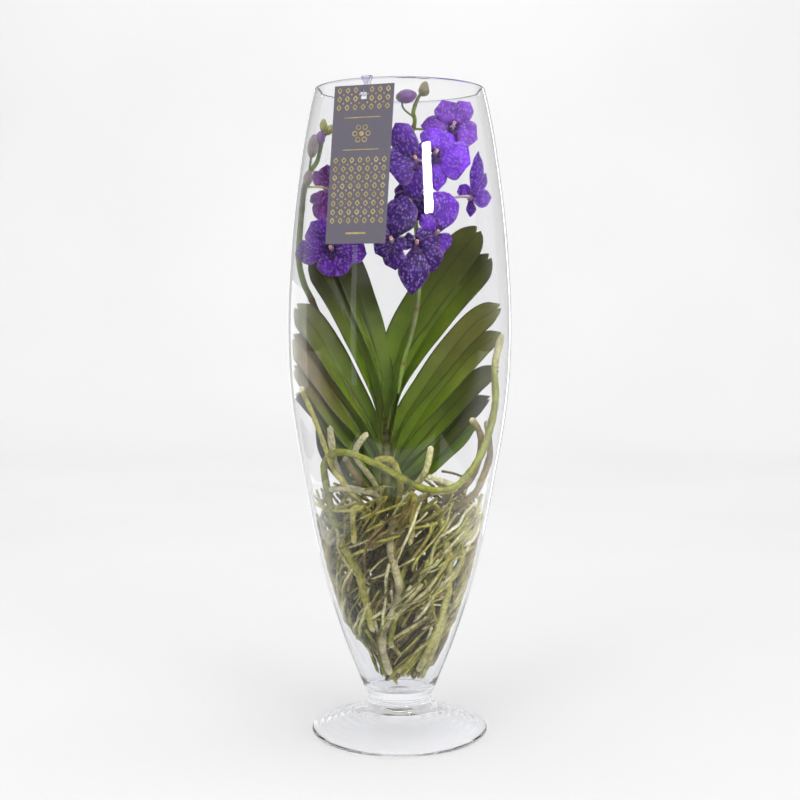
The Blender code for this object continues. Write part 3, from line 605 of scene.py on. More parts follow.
TAG_TURN = radians(21.5)
OUTWARD = Vector((-sin(TAG_TURN), -cos(TAG_TURN), 0))
SIDEWAYS = Vector((cos(TAG_TURN), -sin(TAG_TURN), 0))
TAG_LENGTH = 0.162
TAG_THICKNESS = 0.0008
TAG_TOP_HEIGHT = 0.6915
TAG_BOTTOM_HEIGHT = 0.5315
TAG_TOP_STANDOFF = 0.0026
TAG_HOLE_DROP = 0.011
TAG_HOLE_ROOM = (0.006, 0.007)
PRINT_LIFT = 0.00003
PRINT_DEPTH = 0.00006
PRINT_PITCH = 0.0088
PRINT_COLUMNS = 7
UPPER_PRINT_ROWS = (0.0052, 3)
LOWER_PRINT_ROWS = (0.077, 8)
LOZENGE = (0.0026, 0.0032, 1.6)
LOZENGE_HOLE = (0.0013, 0.0017, 1.6)
DOT = (0.001, 0.001, 1, 10)
ROSETTE_DROP = 0.05
ROSETTE_REACH = 0.0072
ROSETTE_RING = (0.0028, 0.0028, 1)
ROSETTE_HOLE = (0.0019, 0.0019, 1)
ROSETTE_HEART = (0.0026, 0.0026, 1)
RULES = ((0.0335, (0.02, 0.00045, 0.3)), (0.0665, (0.02, 0.00045, 0.3)), (0.1515, (0.011, 0.0009, 0.3)))
HOOK_THICKNESS = 0.0008
HOOK_ROWS = 72
HOOK_COLUMNS = (-1, -0.8, 0, 0.8, 1)
HOOK_PLASTIC = ((0.86, 0.84, 0.97), 0.06, 1.5, (300, 2), 0.0002, 0.4)

# Down the hook in millimetres, from inside the rim to its curled end: the height whose radius on the
# vase counts, how far out from there, the height, and half the width

HOOK_LINE = (
    (698, -5.8, 688, 2.2), (698, -5.3, 695, 3), (698, -4.7, 699, 5), (698, -3.2, 701.1, 5.2),
    (698, 0.2, 701.1, 5.2), (698, 1.5, 698.5, 4.6), (694, 0.9, 694, 2), (686, 0.9, 686, 2),
    (680.6, 1, 682.2, 2), (680.6, 2.1, 680.2, 2), (680.6, 5.2, 680.2, 2), (680.6, 6.8, 683, 2),
    (680.6, 6.6, 688, 1.6),
)


def on_tag(across, drop, lift):
    """A point on the tag's face, from the middle of its top edge."""
    fall = TAG_TOP_HEIGHT - TAG_BOTTOM_HEIGHT
    down = (OUTWARD * sqrt(TAG_LENGTH**2 - fall**2) - upright(fall)).normalized()
    face = down.cross(SIDEWAYS).normalized()
    top = OUTWARD * (outer_radius(TAG_TOP_HEIGHT) + TAG_TOP_STANDOFF) + upright(TAG_TOP_HEIGHT)
    return top + SIDEWAYS * across + down * drop + face * (TAG_THICKNESS + lift)


def rounded(spot, half_width, half_height, power, count=16):
    """Points round a form about an (across, drop) spot."""
    outline = []
    for a in around(count):
        c, s = cos(a), sin(a)
        x = copysign(abs(c) ** power, c) * half_width
        y = copysign(abs(s) ** power, s) * half_height
        outline.append((spot[0] + x, spot[1] + y))
    return outline


def add_print(shape, spot, form, hole=None):
    """A thin printed form at an (across, drop) spot, with a hole where one is given."""
    outline = rounded(spot, *form)
    count = len(outline)
    inner = rounded(spot, *hole) if hole else [[sum(values) / count for values in zip(*outline)]]
    lifts = (PRINT_LIFT, PRINT_LIFT + PRINT_DEPTH)
    points = [on_tag(across, drop, lift) for lift in lifts for across, drop in (*outline, *inner)]
    level = count + len(inner)
    faces = []
    for a in range(count):
        b = (a + 1) % count
        if hole:
            c, d = count + b, count + a
            faces += [(a, b, c, d), (d, c, c + level, d + level)]
            faces.append((level + d, level + c, level + b, level + a))
        else:
            faces += [(a, b, count), (level + count, level + b, level + a)]
        faces.append((b, a, a + level, b + level))
    shape.add(points, faces)


def add_lozenge_rows(shape, first_drop, rows):
    """Open lozenges on a straight grid, with a dot between each four."""
    for r in range(rows):
        drop = first_drop + r * PRINT_PITCH
        for c in range(PRINT_COLUMNS):
            across = (c - (PRINT_COLUMNS - 1) / 2) * PRINT_PITCH
            if abs(across) >= TAG_HOLE_ROOM[0] or abs(drop - TAG_HOLE_DROP) >= TAG_HOLE_ROOM[1]:
                add_print(shape, (across, drop), LOZENGE, LOZENGE_HOLE)
            if c < PRINT_COLUMNS - 1 and r < rows - 1:
                add_print(shape, (across + PRINT_PITCH / 2, drop + PRINT_PITCH / 2), DOT)


def make_tag():
    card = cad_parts["tag_card"]
    card.data.materials.clear()
    card.data.materials.append(card_finish())
    shape = Shape()
    add_lozenge_rows(shape, *UPPER_PRINT_ROWS)
    add_lozenge_rows(shape, *LOWER_PRINT_ROWS)
    for a in around(6):
        spot = (ROSETTE_REACH * cos(a), ROSETTE_DROP + ROSETTE_REACH * sin(a))
        add_print(shape, spot, ROSETTE_RING, ROSETTE_HOLE)
    add_print(shape, (0, ROSETTE_DROP), ROSETTE_HEART)
    for drop, form in RULES:
        add_print(shape, (0, drop), form)
    print_piece = shape.made("tag_print", foil_finish())
    print_piece.data.shade_flat()
    placed(print_piece, "card_grey")


def make_hook():
    line = [Vector((outer_radius(on_vase) + out, *rest)) for on_vase, out, *rest in metres(HOOK_LINE)]
    rows, coords = [], []
    for k, (radius, height, width) in enumerate(smooth_path(line, HOOK_ROWS)):
        middle = OUTWARD * radius + upright(height)
        rows.append([middle + SIDEWAYS * width * c for c in HOOK_COLUMNS])
        coords.append([(width * c, k * 0.001) for c in HOOK_COLUMNS])
    shape = Shape()
    add_blade(shape, rows, HOOK_THICKNESS, coords, [[WHITE] * len(HOOK_COLUMNS)] * HOOK_ROWS)
    plastic = clear_finish("plastic_clear", *HOOK_PLASTIC)
    placed(shape.made("hook_clear", plastic), "clear_plastic", "tag_hook")


# Leaves: half width in millimetres, how far the tip turns, tone, and the spots along the keel

LEAF_THICKNESS = 0.0013
LEAF_FOLD_AT_BASE = radians(52)
LEAF_FOLD_AT_TIP = radians(5)
LEAF_TURN_AT_BASE = radians(36)
LEAF_TURN_HALFWAY = radians(66)
LEAF_WIDTHS = ((0, 0.7), (0.25, 0.88), (0.6, 1), (0.86, 0.96), (1, 0.58))
LEAF_ROWS = 56
LEAF_COLUMNS = both_ways(9)
FRESH = srgb(98, 124, 22)
DEEP = srgb(64, 67, 26)
GREYED = srgb(94, 95, 44)
BROWNED = srgb(108, 94, 48)
# The next tone is painted shade: a dark blue-grey for the leaf at the back, which lies in shadow behind the
# roots.
SHADED_BACK_LEAF = srgb(48, 60, 52)
# The next colour darkens the midrib line, and is painted shade along the leaf margins.
LEAF_MIDRIB_AND_SHADE = srgb(34, 42, 16)
LEAF_PALE = srgb(134, 148, 60)
LEAVES = (
    (22.5, 62, DEEP, ((390, 430, 0), (394, 378, 0), (405, 337, 0), (428, 297, 0), (455, 260, -3),
     (481, 229, -5))),
    (18, 62, DEEP, ((392, 444, 0), (399, 392, 0), (417, 352, -2), (444, 312, -3), (471, 279, -5),
     (492, 256, -10))),
    (15.5, 55, GREYED, ((393, 460, 0), (403, 422, 0), (426, 386, -4), (452, 350, -8), (478, 321, -14),
     (502, 307, -20))),
    (16, 36, GREYED, ((393, 470, 0), (407, 440, 0), (429, 406, -4), (454, 375, -8), (479, 348, -12),
     (503, 335, -16))),
    (16, 30, DEEP, ((393, 481, 0), (407, 460, 0), (428, 434, -4), (452, 407, -8), (476, 383, -14),
     (500, 369, -20))),
    (15.5, 28, DEEP, ((392, 493, 0), (405, 477, 0), (425, 456, -4), (447, 433, -8), (469, 411, -12),
     (491, 398, -18))),
    (14.5, 28, FRESH, ((391, 500, 0), (402, 488, 0), (419, 473, -4), (439, 455, -6), (459, 437, -10),
     (478, 425, -14))),
    (17.5, 55, DEEP, ((383, 420, 0), (380, 378, 0), (371, 335, 0), (360, 300, -2), (349, 268, -4),
     (339, 240, -6))),
    (17, 50, DEEP, ((382, 440, 0), (374, 396, 0), (362, 355, -4), (346, 317, -8), (327, 284, -12),
     (308, 262, -18))),
    (16.8, 62, GREYED, ((381, 458, 0), (366, 420, 0), (348, 386, -4), (329, 352, -8), (311, 324, -14),
     (294, 306, -20))),
    (18, 60, BROWNED, ((380, 472, 0), (366, 444, 0), (348, 414, -4), (328, 383, -8), (309, 355, -12),
     (290, 337, -16))),
    (16.5, 35, BROWNED, ((380, 487, 0), (367, 465, 0), (350, 438, -4), (331, 410, -10), (312, 385, -16),
     (292, 368, -22))),
    (15, 28, DEEP, ((381, 499, 0), (368, 481, 0), (351, 456, -4), (332, 427, -10), (313, 406, -18),
     (294, 396, -26))),
    # The leaf at the back, dark with painted shade.
    (15, 50, SHADED_BACK_LEAF, ((382, 498, 3), (368, 492, 20), (348, 476, 40), (330, 452, 52), (319, 415, 60))),
)
STEM_LINE = ((386, 512, 2), (387, 475, 2), (387, 445, 2), (386, 418, 2), (386, 398, 2))
STEM_RADII = (0.0072, 0.0074, 0.0068, 0.0058, 0.0046, 0.0034)
STEM_ROWS = 60
STEM_JOINTS = 14
STEM_YELLOW = srgb(112, 116, 44)
STEM_BROWN = srgb(72, 62, 34)


def leaf_turn(t, tip_turn):
    halfway = mix(LEAF_TURN_AT_BASE, LEAF_TURN_HALFWAY, clamped(t / 0.5))
    return mix(halfway, radians(tip_turn), clamped((t - 0.5) / 0.5))


def tip_set_back(t, c):
    """How far the leaf's end is drawn back at this column, for its blunt two-lobed tip."""
    share = max((t - 0.8) / 0.2, 0) ** 2
    notch = 0.006 * max(1 - abs(c + 0.12) * 3.6, 0)
    shoulder = 0.008 * abs(c) ** 3
    return -share * (notch + shoulder + 0.003 * eased(c * 3))


def leaf_wave(t, c, seed):
    """A slight buckle of the blade, strongest at its margins."""
    return 0.0007 * c * c * sin(9 * t + seed) + 0.0003 * sin(23 * t + 2 * c + seed)


def leaf_rows(keel, half_width, tip_turn, seed):
    """A grid over one strap leaf: folded at its base, open and turned to the front at its tip."""
    grid = []
    for t, (before, centre, after) in zip(shares(LEAF_ROWS), neighbours(smooth_path(keel, LEAF_ROWS))):
        ahead = (after - before).normalized()
        near = Vector((0, -1, 0))
        near = (near - ahead * near.dot(ahead)).normalized()
        up = near.cross(ahead)
        if up.z < 0 or (abs(up.z) < 0.05 and up.x * centre.x > 0):
            up = -up
        turn = leaf_turn(t, tip_turn)
        lowered = near * cos(turn) - up * sin(turn)
        raised = up * cos(turn) + near * sin(turn)
        fold = mix(LEAF_FOLD_AT_BASE, LEAF_FOLD_AT_TIP, min(t * 1.25, 1))
        width = half_width / 1000 * smooth_value(LEAF_WIDTHS, t)
        row = []
        for c in LEAF_COLUMNS:
            rise = hypot(c, 0.06) - 0.06 + 0.1 * t * (c * c - abs(c))
            spread = cos(fold) * c * lowered + (sin(fold) * rise + 0.06 * t * rise) * raised
            point = centre + spread * width + ahead * tip_set_back(t, c) + raised * leaf_wave(t, c, seed)
            row.append(kept_inside(point, LEAF_THICKNESS / 2 + GLASS_GAP))
        grid.append(row)
    return grid


def leaf_colour(t, c, tip_colour, shift):
    """Fresh green low down, the leaf's own tone towards its tip, a darker midrib along the keel, and painted
    shade along the margins for the dark lines where the leaves overlap.
    """
    body = mixed(FRESH, tip_colour, eased((t - 0.22 + shift) / 0.62))
    base = mixed(LEAF_PALE, body, eased(t / 0.16))
    # A darker midrib at the keel, and painted shade along the margins.
    midrib_and_shade = max(0.75 * eased((abs(c) - 0.86) / 0.14), 0.55 * (1 - eased(abs(c) / 0.09)))
    return mixed(base, LEAF_MIDRIB_AND_SHADE, midrib_and_shade)


def add_leaf(shape, leaf, seed):
    half_width, tip_turn, tip_colour, keel = leaf
    rows = leaf_rows(seen_line(keel), half_width, tip_turn, seed)
    shift = 0.1 * sin(seed * 2.3)
    coords = [[(c + seed, t * 6) for c in LEAF_COLUMNS] for t in shares(LEAF_ROWS)]
    colours = [[leaf_colour(t, c, tip_colour, shift) for c in LEAF_COLUMNS] for t in shares(LEAF_ROWS)]
    add_blade(shape, rows, LEAF_THICKNESS, coords, colours)


def make_leafy_stem():
    shape = Shape()
    for k, leaf in enumerate(LEAVES):
        add_leaf(shape, leaf, 1.7 * k)
    placed(shape.made("leaf_fan", leaf_finish()), "leaf_green", "leafy_stem")
    radii, colours = [], []
    for t, plain in zip(shares(STEM_ROWS), smooth_values(STEM_RADII, STEM_ROWS)):
        ring = abs(sin(t * pi * STEM_JOINTS))
        radii.append(plain * (0.93 + 0.05 * ring**4) * (1 - 0.5 * eased((t - 0.55) / 0.2)))
        colours.append(mixed(STEM_YELLOW, STEM_BROWN, ring**6))
    stem = Shape()
    add_tube(stem, smooth_path(seen_line(STEM_LINE), STEM_ROWS), radii, 16, colours)
    placed(stem.made("stem_core", stalk_finish("stem_skin", 0.55)), "leaf_green")


# Blooms: the middle's spot, its facing in degrees round and up, its tone, and its tepals. A tepal is its
# tip's spot, its half width in millimetres, and how pointed it is from 0 to 1. Stations are pairs of a
# place along a form and its radius there

TEPAL_THICKNESS = 0.001
TEPAL_RISE = 0.1
TEPAL_CURL = 0.16
TEPAL_CUP = 0.22
TEPAL_START = 0.03
TEPAL_WIDTHS = ((0, 0.14), (0.14, 0.36), (0.38, 0.86), (0.62, 1), (0.84, 0.86), (0.95, 0.56), (1, 0.26))
TEPAL_LAYERS = (0, 0.0018, 0, -0.0018, 0.0018)
TEPAL_ROWS = 26
TEPAL_COLUMNS = both_ways(8)
TEPAL_ROOM = TEPAL_THICKNESS / 2 + GLASS_GAP
LIP_LENGTH = 0.03
LIP_THICKNESS = 0.0014
LIP_ROWS = 9
LIP_COLUMNS = both_ways(4)
LIP_WIDTHS = ((0, 0.05), (0.25, 0.09), (0.6, 0.11), (0.85, 0.1), (1, 0.06))
LOBE_RADII = (0.0012, 0.0016, 0.0019, 0.002, 0.0018, 0.0014, 0.0007)
BOSS_STATIONS = ((-0.003, 0.0018), (-0.002, 0.0029), (0, 0.0035), (0.0018, 0.0031), (0.003, 0.002))
BOSS_FRONT = 0.0037
BOSS_BACK = 0.0042
COLUMN_LENGTH = 0.0062
COLUMN_LEAN = 0.45
COLUMN_GIRTH = 0.002
COLUMN_STATIONS = (
    (-0.5, 0.5), (-0.42, 0.62), (-0.22, 0.8), (0, 0.84), (0.14, 0.8), (0.22, 0.94), (0.34, 0.9),
    (0.44, 0.62), (0.5, 0.3),
)
TOUCH_GAP = 0.0003
VIOLET = srgb(89, 34, 158)
CLEAR_VIOLET = srgb(106, 44, 190)
# The next two tones are painted shade: darker copies of the violet for the blooms low in the cluster and in
# its middle.
SHADED_VIOLET = srgb(45, 11, 87)
HALF_SHADED_VIOLET = srgb(68, 24, 124)
PURPLE = srgb(86, 30, 142)
RED_VIOLET = srgb(110, 54, 168)
MAUVE = srgb(124, 58, 140)
# The next colour is painted shade, laid on each tepal where it starts among the others.
TEPAL_BASE_SHADE = srgb(44, 14, 78)
LIP_PURPLE = srgb(50, 14, 66)
CREAM = srgb(232, 200, 184)
ORANGE = srgb(206, 140, 120)
COLUMN_TONES = (ORANGE, ORANGE, mixed(ORANGE, CREAM, 0.5), CREAM, CREAM, CREAM, CREAM, ORANGE, ORANGE)
BLOOMS = {
    "top": ((452.5, 127.5, -4), (14, 4), RED_VIOLET, (
        (469, 102, 0, 12, 0.1), (442, 101, -2, 14, 0.2), (421, 125, -2, 11, 0.3), (450, 150, 4, 12, 0),
        (477, 139, 2, 14, 0))),
    "upper_right": ((435, 154, -30), (12, -5), CLEAR_VIOLET, (
        (453, 136, -27, 14, 0), (430, 128, -28, 13.5, 0.1), (419, 158, -22, 9, 0), (438, 191, -26, 12, 0.2),
        (469, 165, -26, 20, 0))),
    # Blooms in the middle and low in the cluster take the darker violets, which are painted shade.
    "upper_middle": ((417, 161, -50), (-18, 0), HALF_SHADED_VIOLET, (
        (428, 143, -48, 9, 0.2), (395, 124, -52, 15, 0.1), (389, 170, -56, 20, 0), (412, 198, -50, 13, 0.2),
        (430, 180, -44, 10, 0.2))),
    "side": ((470, 198, 9), (152, -6), VIOLET, (
        (479, 152, 10, 8, 0.3), (459, 186, 11, 8, 0), (471, 217, 12, 6, 0.5), (492, 199, 4, 10, 0.2),
        (486, 173, 11, 7, 0))),
    "middle": ((411, 203, -18), (-8, -8), SHADED_VIOLET, (
        (404, 181, -20, 13, 0), (393, 203, -22, 13, 0), (402, 225, -20, 13, 0), (424, 219, -16, 12, 0),
        (427, 193, -16, 12, 0))),
    "lower_right": ((435, 234, -36), (20, -8), VIOLET, (
        (447, 192, -30, 18.5, 0), (420, 215, -44, 8, 0), (420, 246, -36, 8, 0), (438, 258, -30, 11, 0.2),
        (450, 246, -28, 9, 0.2))),
    "lower_middle": ((416, 243, -58), (6, -14), SHADED_VIOLET, (
        (426, 229, -56, 8, 0), (402, 240, -60, 9, 0), (411, 295, -56, 16.5, 0.7), (437, 270, -50, 17, 0.3),
        (439, 246, -50, 11, 0))),
    "lower_left": ((392, 241, -78), (-8, -6), SHADED_VIOLET, (
        (407, 197, -70, 18, 0.1), (372, 226, -76, 9, 0), (376, 254, -74, 11, 0.1), (395, 270, -72, 12, 0.1),
        (406, 247, -78, 8, 0))),
    "left": ((332.5, 249, -46), (-10, -10), PURPLE, (
        (349, 226, -48, 11, 0), (312, 223, -40, 17, 0.1), (295, 254, -18, 13, 0.4), (336, 277, -48, 19, 0.2),
        (367, 252, -50, 13, 0))),
    "left_top": ((327, 190, -36), (158, -10), MAUVE, (
        (328, 165, -36, 11, 0), (314, 172, -36, 8, 0.2), (311, 203, -34, 7, 0.2), (321, 222, -36, 12, 0.1),
        (341, 199, -36, 10, 0))),
}


def facing_axes(look):
    """A bloom's facing, upward and rightward directions."""
    turn, lift = radians(look[0]), radians(look[1])
    facing = Vector((sin(turn) * cos(lift), -cos(turn) * cos(lift), sin(lift)))
    right = Vector((cos(turn), sin(turn), 0))
    return facing, facing.cross(right), right


def tepal_width(half_width, point, t):
    return half_width / 1000 * (smooth_value(TEPAL_WIDTHS, t) * (1 - 0.7 * point * eased((t - 0.55) / 0.45)))


def tepal_rows(middle, facing, tepal, layer, seed):
    """A grid over one tepal, which is narrow where it starts, broad beyond and curls back."""
    *tip, half_width, point = tepal
    along = seen(*tip) - middle
    length = along.length
    across = along.cross(facing).normalized()
    front = across.cross(along).normalized()
    rows = []
    for share in shares(TEPAL_ROWS):
        t = mix(TEPAL_START, 1, share)
        width = tepal_width(half_width, point, t) * (1 + 0.05 * sin(8 * t + 2.3 * seed))
        lift = length * (TEPAL_RISE * sin(pi * t) - TEPAL_CURL * (t**2 - t)) + layer * min(t / 0.2, 1)
        row = []
        for c in TEPAL_COLUMNS:
            cup = -TEPAL_CUP * width * c * c
            wave = 0.0008 * c * c * sin(4.4 * t * pi + seed + 1.5 * c) * eased(t / 0.4)
            groove = -0.0005 * exp(-((c / 0.1) ** 2)) * sin(pi * t)
            reach = t - 0.06 * c * c * eased((t - 0.75) / 0.25)
            reach += 0.022 * eased((t - 0.6) / 0.3) * sin(3.1 * c + 1.7 * seed)
            spot = middle + along * reach + across * width * c + front * (lift + cup + wave + groove)
            row.append(kept_inside(spot, TEPAL_ROOM))
        rows.append(row)
    return rows


def add_tepal(shape, middle, facing, tepal, layer, tone, seed):
    """One tepal, darkened by painted shade where it starts at the bloom's middle, and pale along its
    margins.
    """
    *tip, half_width, point = tepal
    length = (seen(*tip) - middle).length
    coords, colours = [], []
    for t in shares(TEPAL_ROWS):
        width = tepal_width(half_width, point, t)
        coords.append([(width * c + 0.1 * seed, length * t + 0.07 * seed) for c in TEPAL_COLUMNS])
        # Painted shade darkens the tepal where it starts.
        shaded_base = mixed(TEPAL_BASE_SHADE, tone, eased((t - 0.05) / 0.3))
        pale = mixed(tone, CREAM, 0.12)
        colours.append([mixed(shaded_base, pale, eased((abs(c) - 0.8) / 0.2)) for c in TEPAL_COLUMNS])
    add_blade(shape, tepal_rows(middle, facing, tepal, layer, seed), TEPAL_THICKNESS, coords, colours)


def add_lip(shape, middle, axes):
    """The small tongue that runs down and forward under the column, with a lobe to either side."""
    facing, dorsal, beside = (axis * LIP_LENGTH for axis in axes)
    rows, coords = [], []
    for t in shares(LIP_ROWS):
        width = smooth_value(LIP_WIDTHS, t)
        spot = middle - dorsal * (0.06 + 0.3 * t) + facing * (0.3 * t - 0.06 * t**3)
        row = []
        for c in LIP_COLUMNS:
            point = spot + beside * width * c + facing * (0.03 * c * c + 0.02 * (1 - abs(c)) * t)
            row.append(kept_inside(point, TEPAL_ROOM))
        rows.append(row)
        coords.append([(LIP_LENGTH * width * j, LIP_LENGTH * t) for j in range(len(row))])
    add_blade(shape, rows, LIP_THICKNESS, coords, [[LIP_PURPLE] * len(LIP_COLUMNS)] * LIP_ROWS, 0.6)
    for sign in (-1, 1):
        foot = middle + facing * 0.02 - dorsal * 0.05 + beside * sign * 0.03
        lobe = foot + facing * 0.15 + beside * sign * 0.08
        path = smooth_path([foot, mix(foot, lobe, 0.5) + beside * sign * 0.02, lobe], len(LOBE_RADII))
        path = [kept_inside(p, 0.002) for p in path]
        add_tube(shape, path, LOBE_RADII, 8, [LIP_PURPLE] * len(path), 0.3, 0.35)


def add_boss(shape, middle, facing, tone):
    """The knob that the tepals grow from, seen best from behind."""
    path = [middle + facing * s for s, _ in BOSS_STATIONS]
    add_tube(shape, path, [r for _, r in BOSS_STATIONS], 10, [mixed(tone, CREAM, 0.35)] * len(path))


def add_column(shape, middle, axes):
    """The pale column with its rounded cap and the darker mouth below it."""
    facing, dorsal, _ = axes
    lean = (facing + dorsal * COLUMN_LEAN).normalized()
    centre = middle + lean * (BOSS_FRONT + TOUCH_GAP + COLUMN_LENGTH / 2)
    path = [kept_inside(centre + lean * COLUMN_LENGTH * s, 0.0027) for s, _ in COLUMN_STATIONS]
    add_tube(shape, path, [COLUMN_GIRTH * girth for _, girth in COLUMN_STATIONS], 14, COLUMN_TONES)


def make_blooms():
    petals = petal_finish()
    flesh = stalk_finish("column_flesh", 0.4)
    for number, (name, (spot, look, tone, tepals)) in enumerate(BLOOMS.items()):
        middle = seen(*spot)
        axes = facing_axes(look)
        bloom, column = Shape(), Shape()
        add_boss(bloom, middle, axes[0], tone)
        for k, (tepal, layer) in enumerate(zip(tepals, TEPAL_LAYERS)):
            add_tepal(bloom, middle, axes[0], tepal, layer, tone, 5 * number + k)
        add_lip(bloom, middle, axes)
        placed(bloom.made("flower_" + name, petals), "bloom_violet", "bloom_" + name)
        add_column(column, middle, axes)
        placed(column.made("heart_" + name, flesh), "bloom_cream", "column_" + name)


# Flower spikes, as the spots up each with the radius there in millimetres, the joints as shares of the
# length, and the tone where the pedicels meet the blooms

SPIKE_GREEN = srgb(108, 134, 44)
SPIKE_DARK = srgb(96, 104, 58)
NODE_BROWN = srgb(96, 46, 40)
PEDICEL_PINK = srgb(196, 168, 176)
PEDICEL_CREAM = srgb(206, 190, 140)
SPIKES = {
    "right": ((
        (398.5, 393, -19.8, 1.6), (401, 374, -20.8, 2.3), (405.5, 354, -22, 2.5), (412, 332, -21, 2.6),
        (416.5, 310, -20, 2.6), (419, 283, -20, 2.6), (418, 250, -8, 2.6), (415, 215, 8, 2.6),
        (412, 175, 14, 2.5), (411.5, 138, 11, 2.4), (414.8, 122, 4, 2.3), (413.2, 113, -2, 2.2),
        (416, 103, -2, 2), (420, 95, -2, 1.7),
    ), (0.12, 0.31, 0.47, 0.56, 0.66, 0.74, 0.82, 0.9), PEDICEL_PINK),
    "left": ((
        (378, 436, 6.9, 3.2), (360, 404, 10, 3.4), (345, 380, 12, 3.4), (325, 332, 8, 3.4),
        (312, 301, 2, 3.4), (303.5, 283, -2, 3.4), (298.5, 259, -5, 3.4), (298, 232, -8, 3.4),
        (299, 204, -10, 3.2), (304.5, 187, -10, 3), (310, 172, -10, 2.8), (317, 162, -10, 2.4),
        (321, 147, -10, 2.1), (324, 134, -10, 1.8),
    ), (0.12, 0.31, 0.47, 0.6, 0.68, 0.76), PEDICEL_CREAM),
}
SPIKE_ROWS = 120
JOINT_LENGTH = 0.006
JOINT_SWELL = 0.16

# Pedicels: where each leaves its spike, and a bend where it has one

PEDICELS = {
    "right": {
        "top": ((413, 129, 7), (432, 130, 9)), "upper_right": ((412, 164, 14), None),
        "upper_middle": ((411, 177, 13), (405, 171.5, -3)), "side": ((414, 204, 10), None),
        "middle": ((415.4, 219, 6), None), "lower_right": ((417, 246, -6), None),
        "lower_middle": ((418.5, 276, -19), None), "lower_left": ((416.4, 236, -2), (380, 240, -44)),
    },
    "left": {"left": ((298, 240, -7), None), "left_top": ((304.5, 187, -10), None)},
}
PEDICEL_RADIUS = 0.0013
PEDICEL_STRAIGHT = 0.006
PEDICEL_END_GAP = 0.0011
PEDICEL_ROWS = 26

# Buds: the spots of the tail and the tip, then of the stalk's bend and foot, with radius and tone

BUD_VIOLET = srgb(126, 88, 150)
BUD_GREY = srgb(160, 146, 150)
BUD_GREEN = srgb(168, 166, 92)
BUD_OLIVE = srgb(136, 126, 100)
BUDS = {
    "right": (((421, 96, -2), (427, 86, -2), (420, 96, -2), (419, 98, -2), 0.0062, BUD_OLIVE),
              ((396, 98, -10), (417, 95, -10), (403, 108, -6), (413.2, 117, -1), 0.0076, BUD_VIOLET)),
    "left": (((307, 158, -16), (313, 134, -16), (301.5, 163, -14), (306, 184, -10), 0.0062, BUD_GREY),
             ((320, 146, -14), (321, 131, -14), (320, 150, -12), (319, 156, -10), 0.0052, BUD_VIOLET),
             ((326, 135, -8), (333, 125, -8), (325, 136, -9), (324, 138, -10), 0.0044, BUD_GREEN),
             ((323, 132, -12), (324, 119, -12), (323.5, 133, -11), (324, 136, -10), 0.0042, BUD_GREEN),
             ((303, 186, -26), (302, 170, -28), (304, 189, -22), (303, 194, -10), 0.005, BUD_GREY)),
}
BUD_STALK_RADIUS = 0.0012
BUD_STALK_ROWS = 14
BUD_ROWS = 15
BUD_SIDES = 18
BUD_SEAM = 0.13


def pedicel_path(bloom, joint, via):
    """From the spike, past a bend where one is given, to just behind the bloom's boss."""
    spot, look, _, _ = BLOOMS[bloom]
    facing, _, _ = facing_axes(look)
    back = seen(*spot) - facing * (BOSS_BACK + PEDICEL_END_GAP)
    start = seen(*joint)
    away = back - facing * min(PEDICEL_STRAIGHT, (back - start).length * 0.4)
    bend = seen(*via) if via else mix(start, away, 0.55)
    return smooth_path([start, bend, away, back + facing * 0.0016], PEDICEL_ROWS)


def add_bud(shape, bud):
    """A bud with shallow seams between its folded tepals, on its short stalk."""
    *spots, radius, tone = bud
    tail, tip, bend, foot = (kept_inside(point, radius + GLASS_GAP) for point in seen_line(spots))
    stalk = smooth_path([foot, bend, mix(tail, tip, 0.3)], BUD_STALK_ROWS)
    tones = [mixed(SPIKE_GREEN, tone, k / 20) for k in range(BUD_STALK_ROWS)]
    add_tube(shape, stalk, [BUD_STALK_RADIUS] * BUD_STALK_ROWS, 8, tones)
    path, radii, colours = [], [], []
    for t in shares(BUD_ROWS):
        path.append(mix(tail, tip, mix(0.04, 0.96, t)))
        radii.append(radius * (sin(pi * mix(0.1, 0.93, t)) ** 0.7))
        colours.append(mixed(mixed(SPIKE_GREEN, tone, 0.6), tone, eased(t / 0.4)))
    first = len(shape.points) + 1
    add_tube(shape, path, radii, BUD_SIDES, colours)
    for row, centre in enumerate(path):
        for k in range(BUD_SIDES):
            at = first + row * BUD_SIDES + k
            seam = 1 - BUD_SEAM * abs(cos(1.5 * 2 * pi * k / BUD_SIDES)) ** 8
            shape.points[at] = centre + (shape.points[at] - centre) * seam


def make_spike(side):
    line, nodes, end_tone = SPIKES[side]
    radii = [radius / 1000 for _, _, _, radius in line]
    path = [kept_inside(seen(*spot), radius + GLASS_GAP) for (*spot, _), radius in zip(line, radii)]
    girths, colours = [], []
    for t, plain in zip(shares(SPIKE_ROWS), smooth_values(radii, SPIKE_ROWS)):
        joint = max(exp(-(((t - n) / JOINT_LENGTH) ** 2)) for n in nodes)
        girths.append(plain * (1 + JOINT_SWELL * joint))
        tone = mixed(SPIKE_DARK, SPIKE_GREEN, 0.5 + 0.5 * sin(17 * t))
        colours.append(mixed(tone, NODE_BROWN, joint))
    shape = Shape()
    add_tube(shape, smooth_path(path, SPIKE_ROWS), girths, 14, colours)
    widths = [PEDICEL_RADIUS * (1 + 0.25 * t**3) for t in shares(PEDICEL_ROWS)]
    tones = [mixed(SPIKE_GREEN, end_tone, eased(k / 12)) for k in range(PEDICEL_ROWS)]
    for bloom, (joint, via) in PEDICELS[side].items():
        add_tube(shape, pedicel_path(bloom, joint, via), widths, 8, tones)
    for bud in BUDS[side]:
        add_bud(shape, bud)
    spike = shape.made("spike_" + side, stalk_finish("spike_skin_" + side))
    placed(spike, "spike_green", "flower_spike_" + side)


# Roots. First the crown, and the roots that the photograph shows one by one, as spots and a radius in
# millimetres

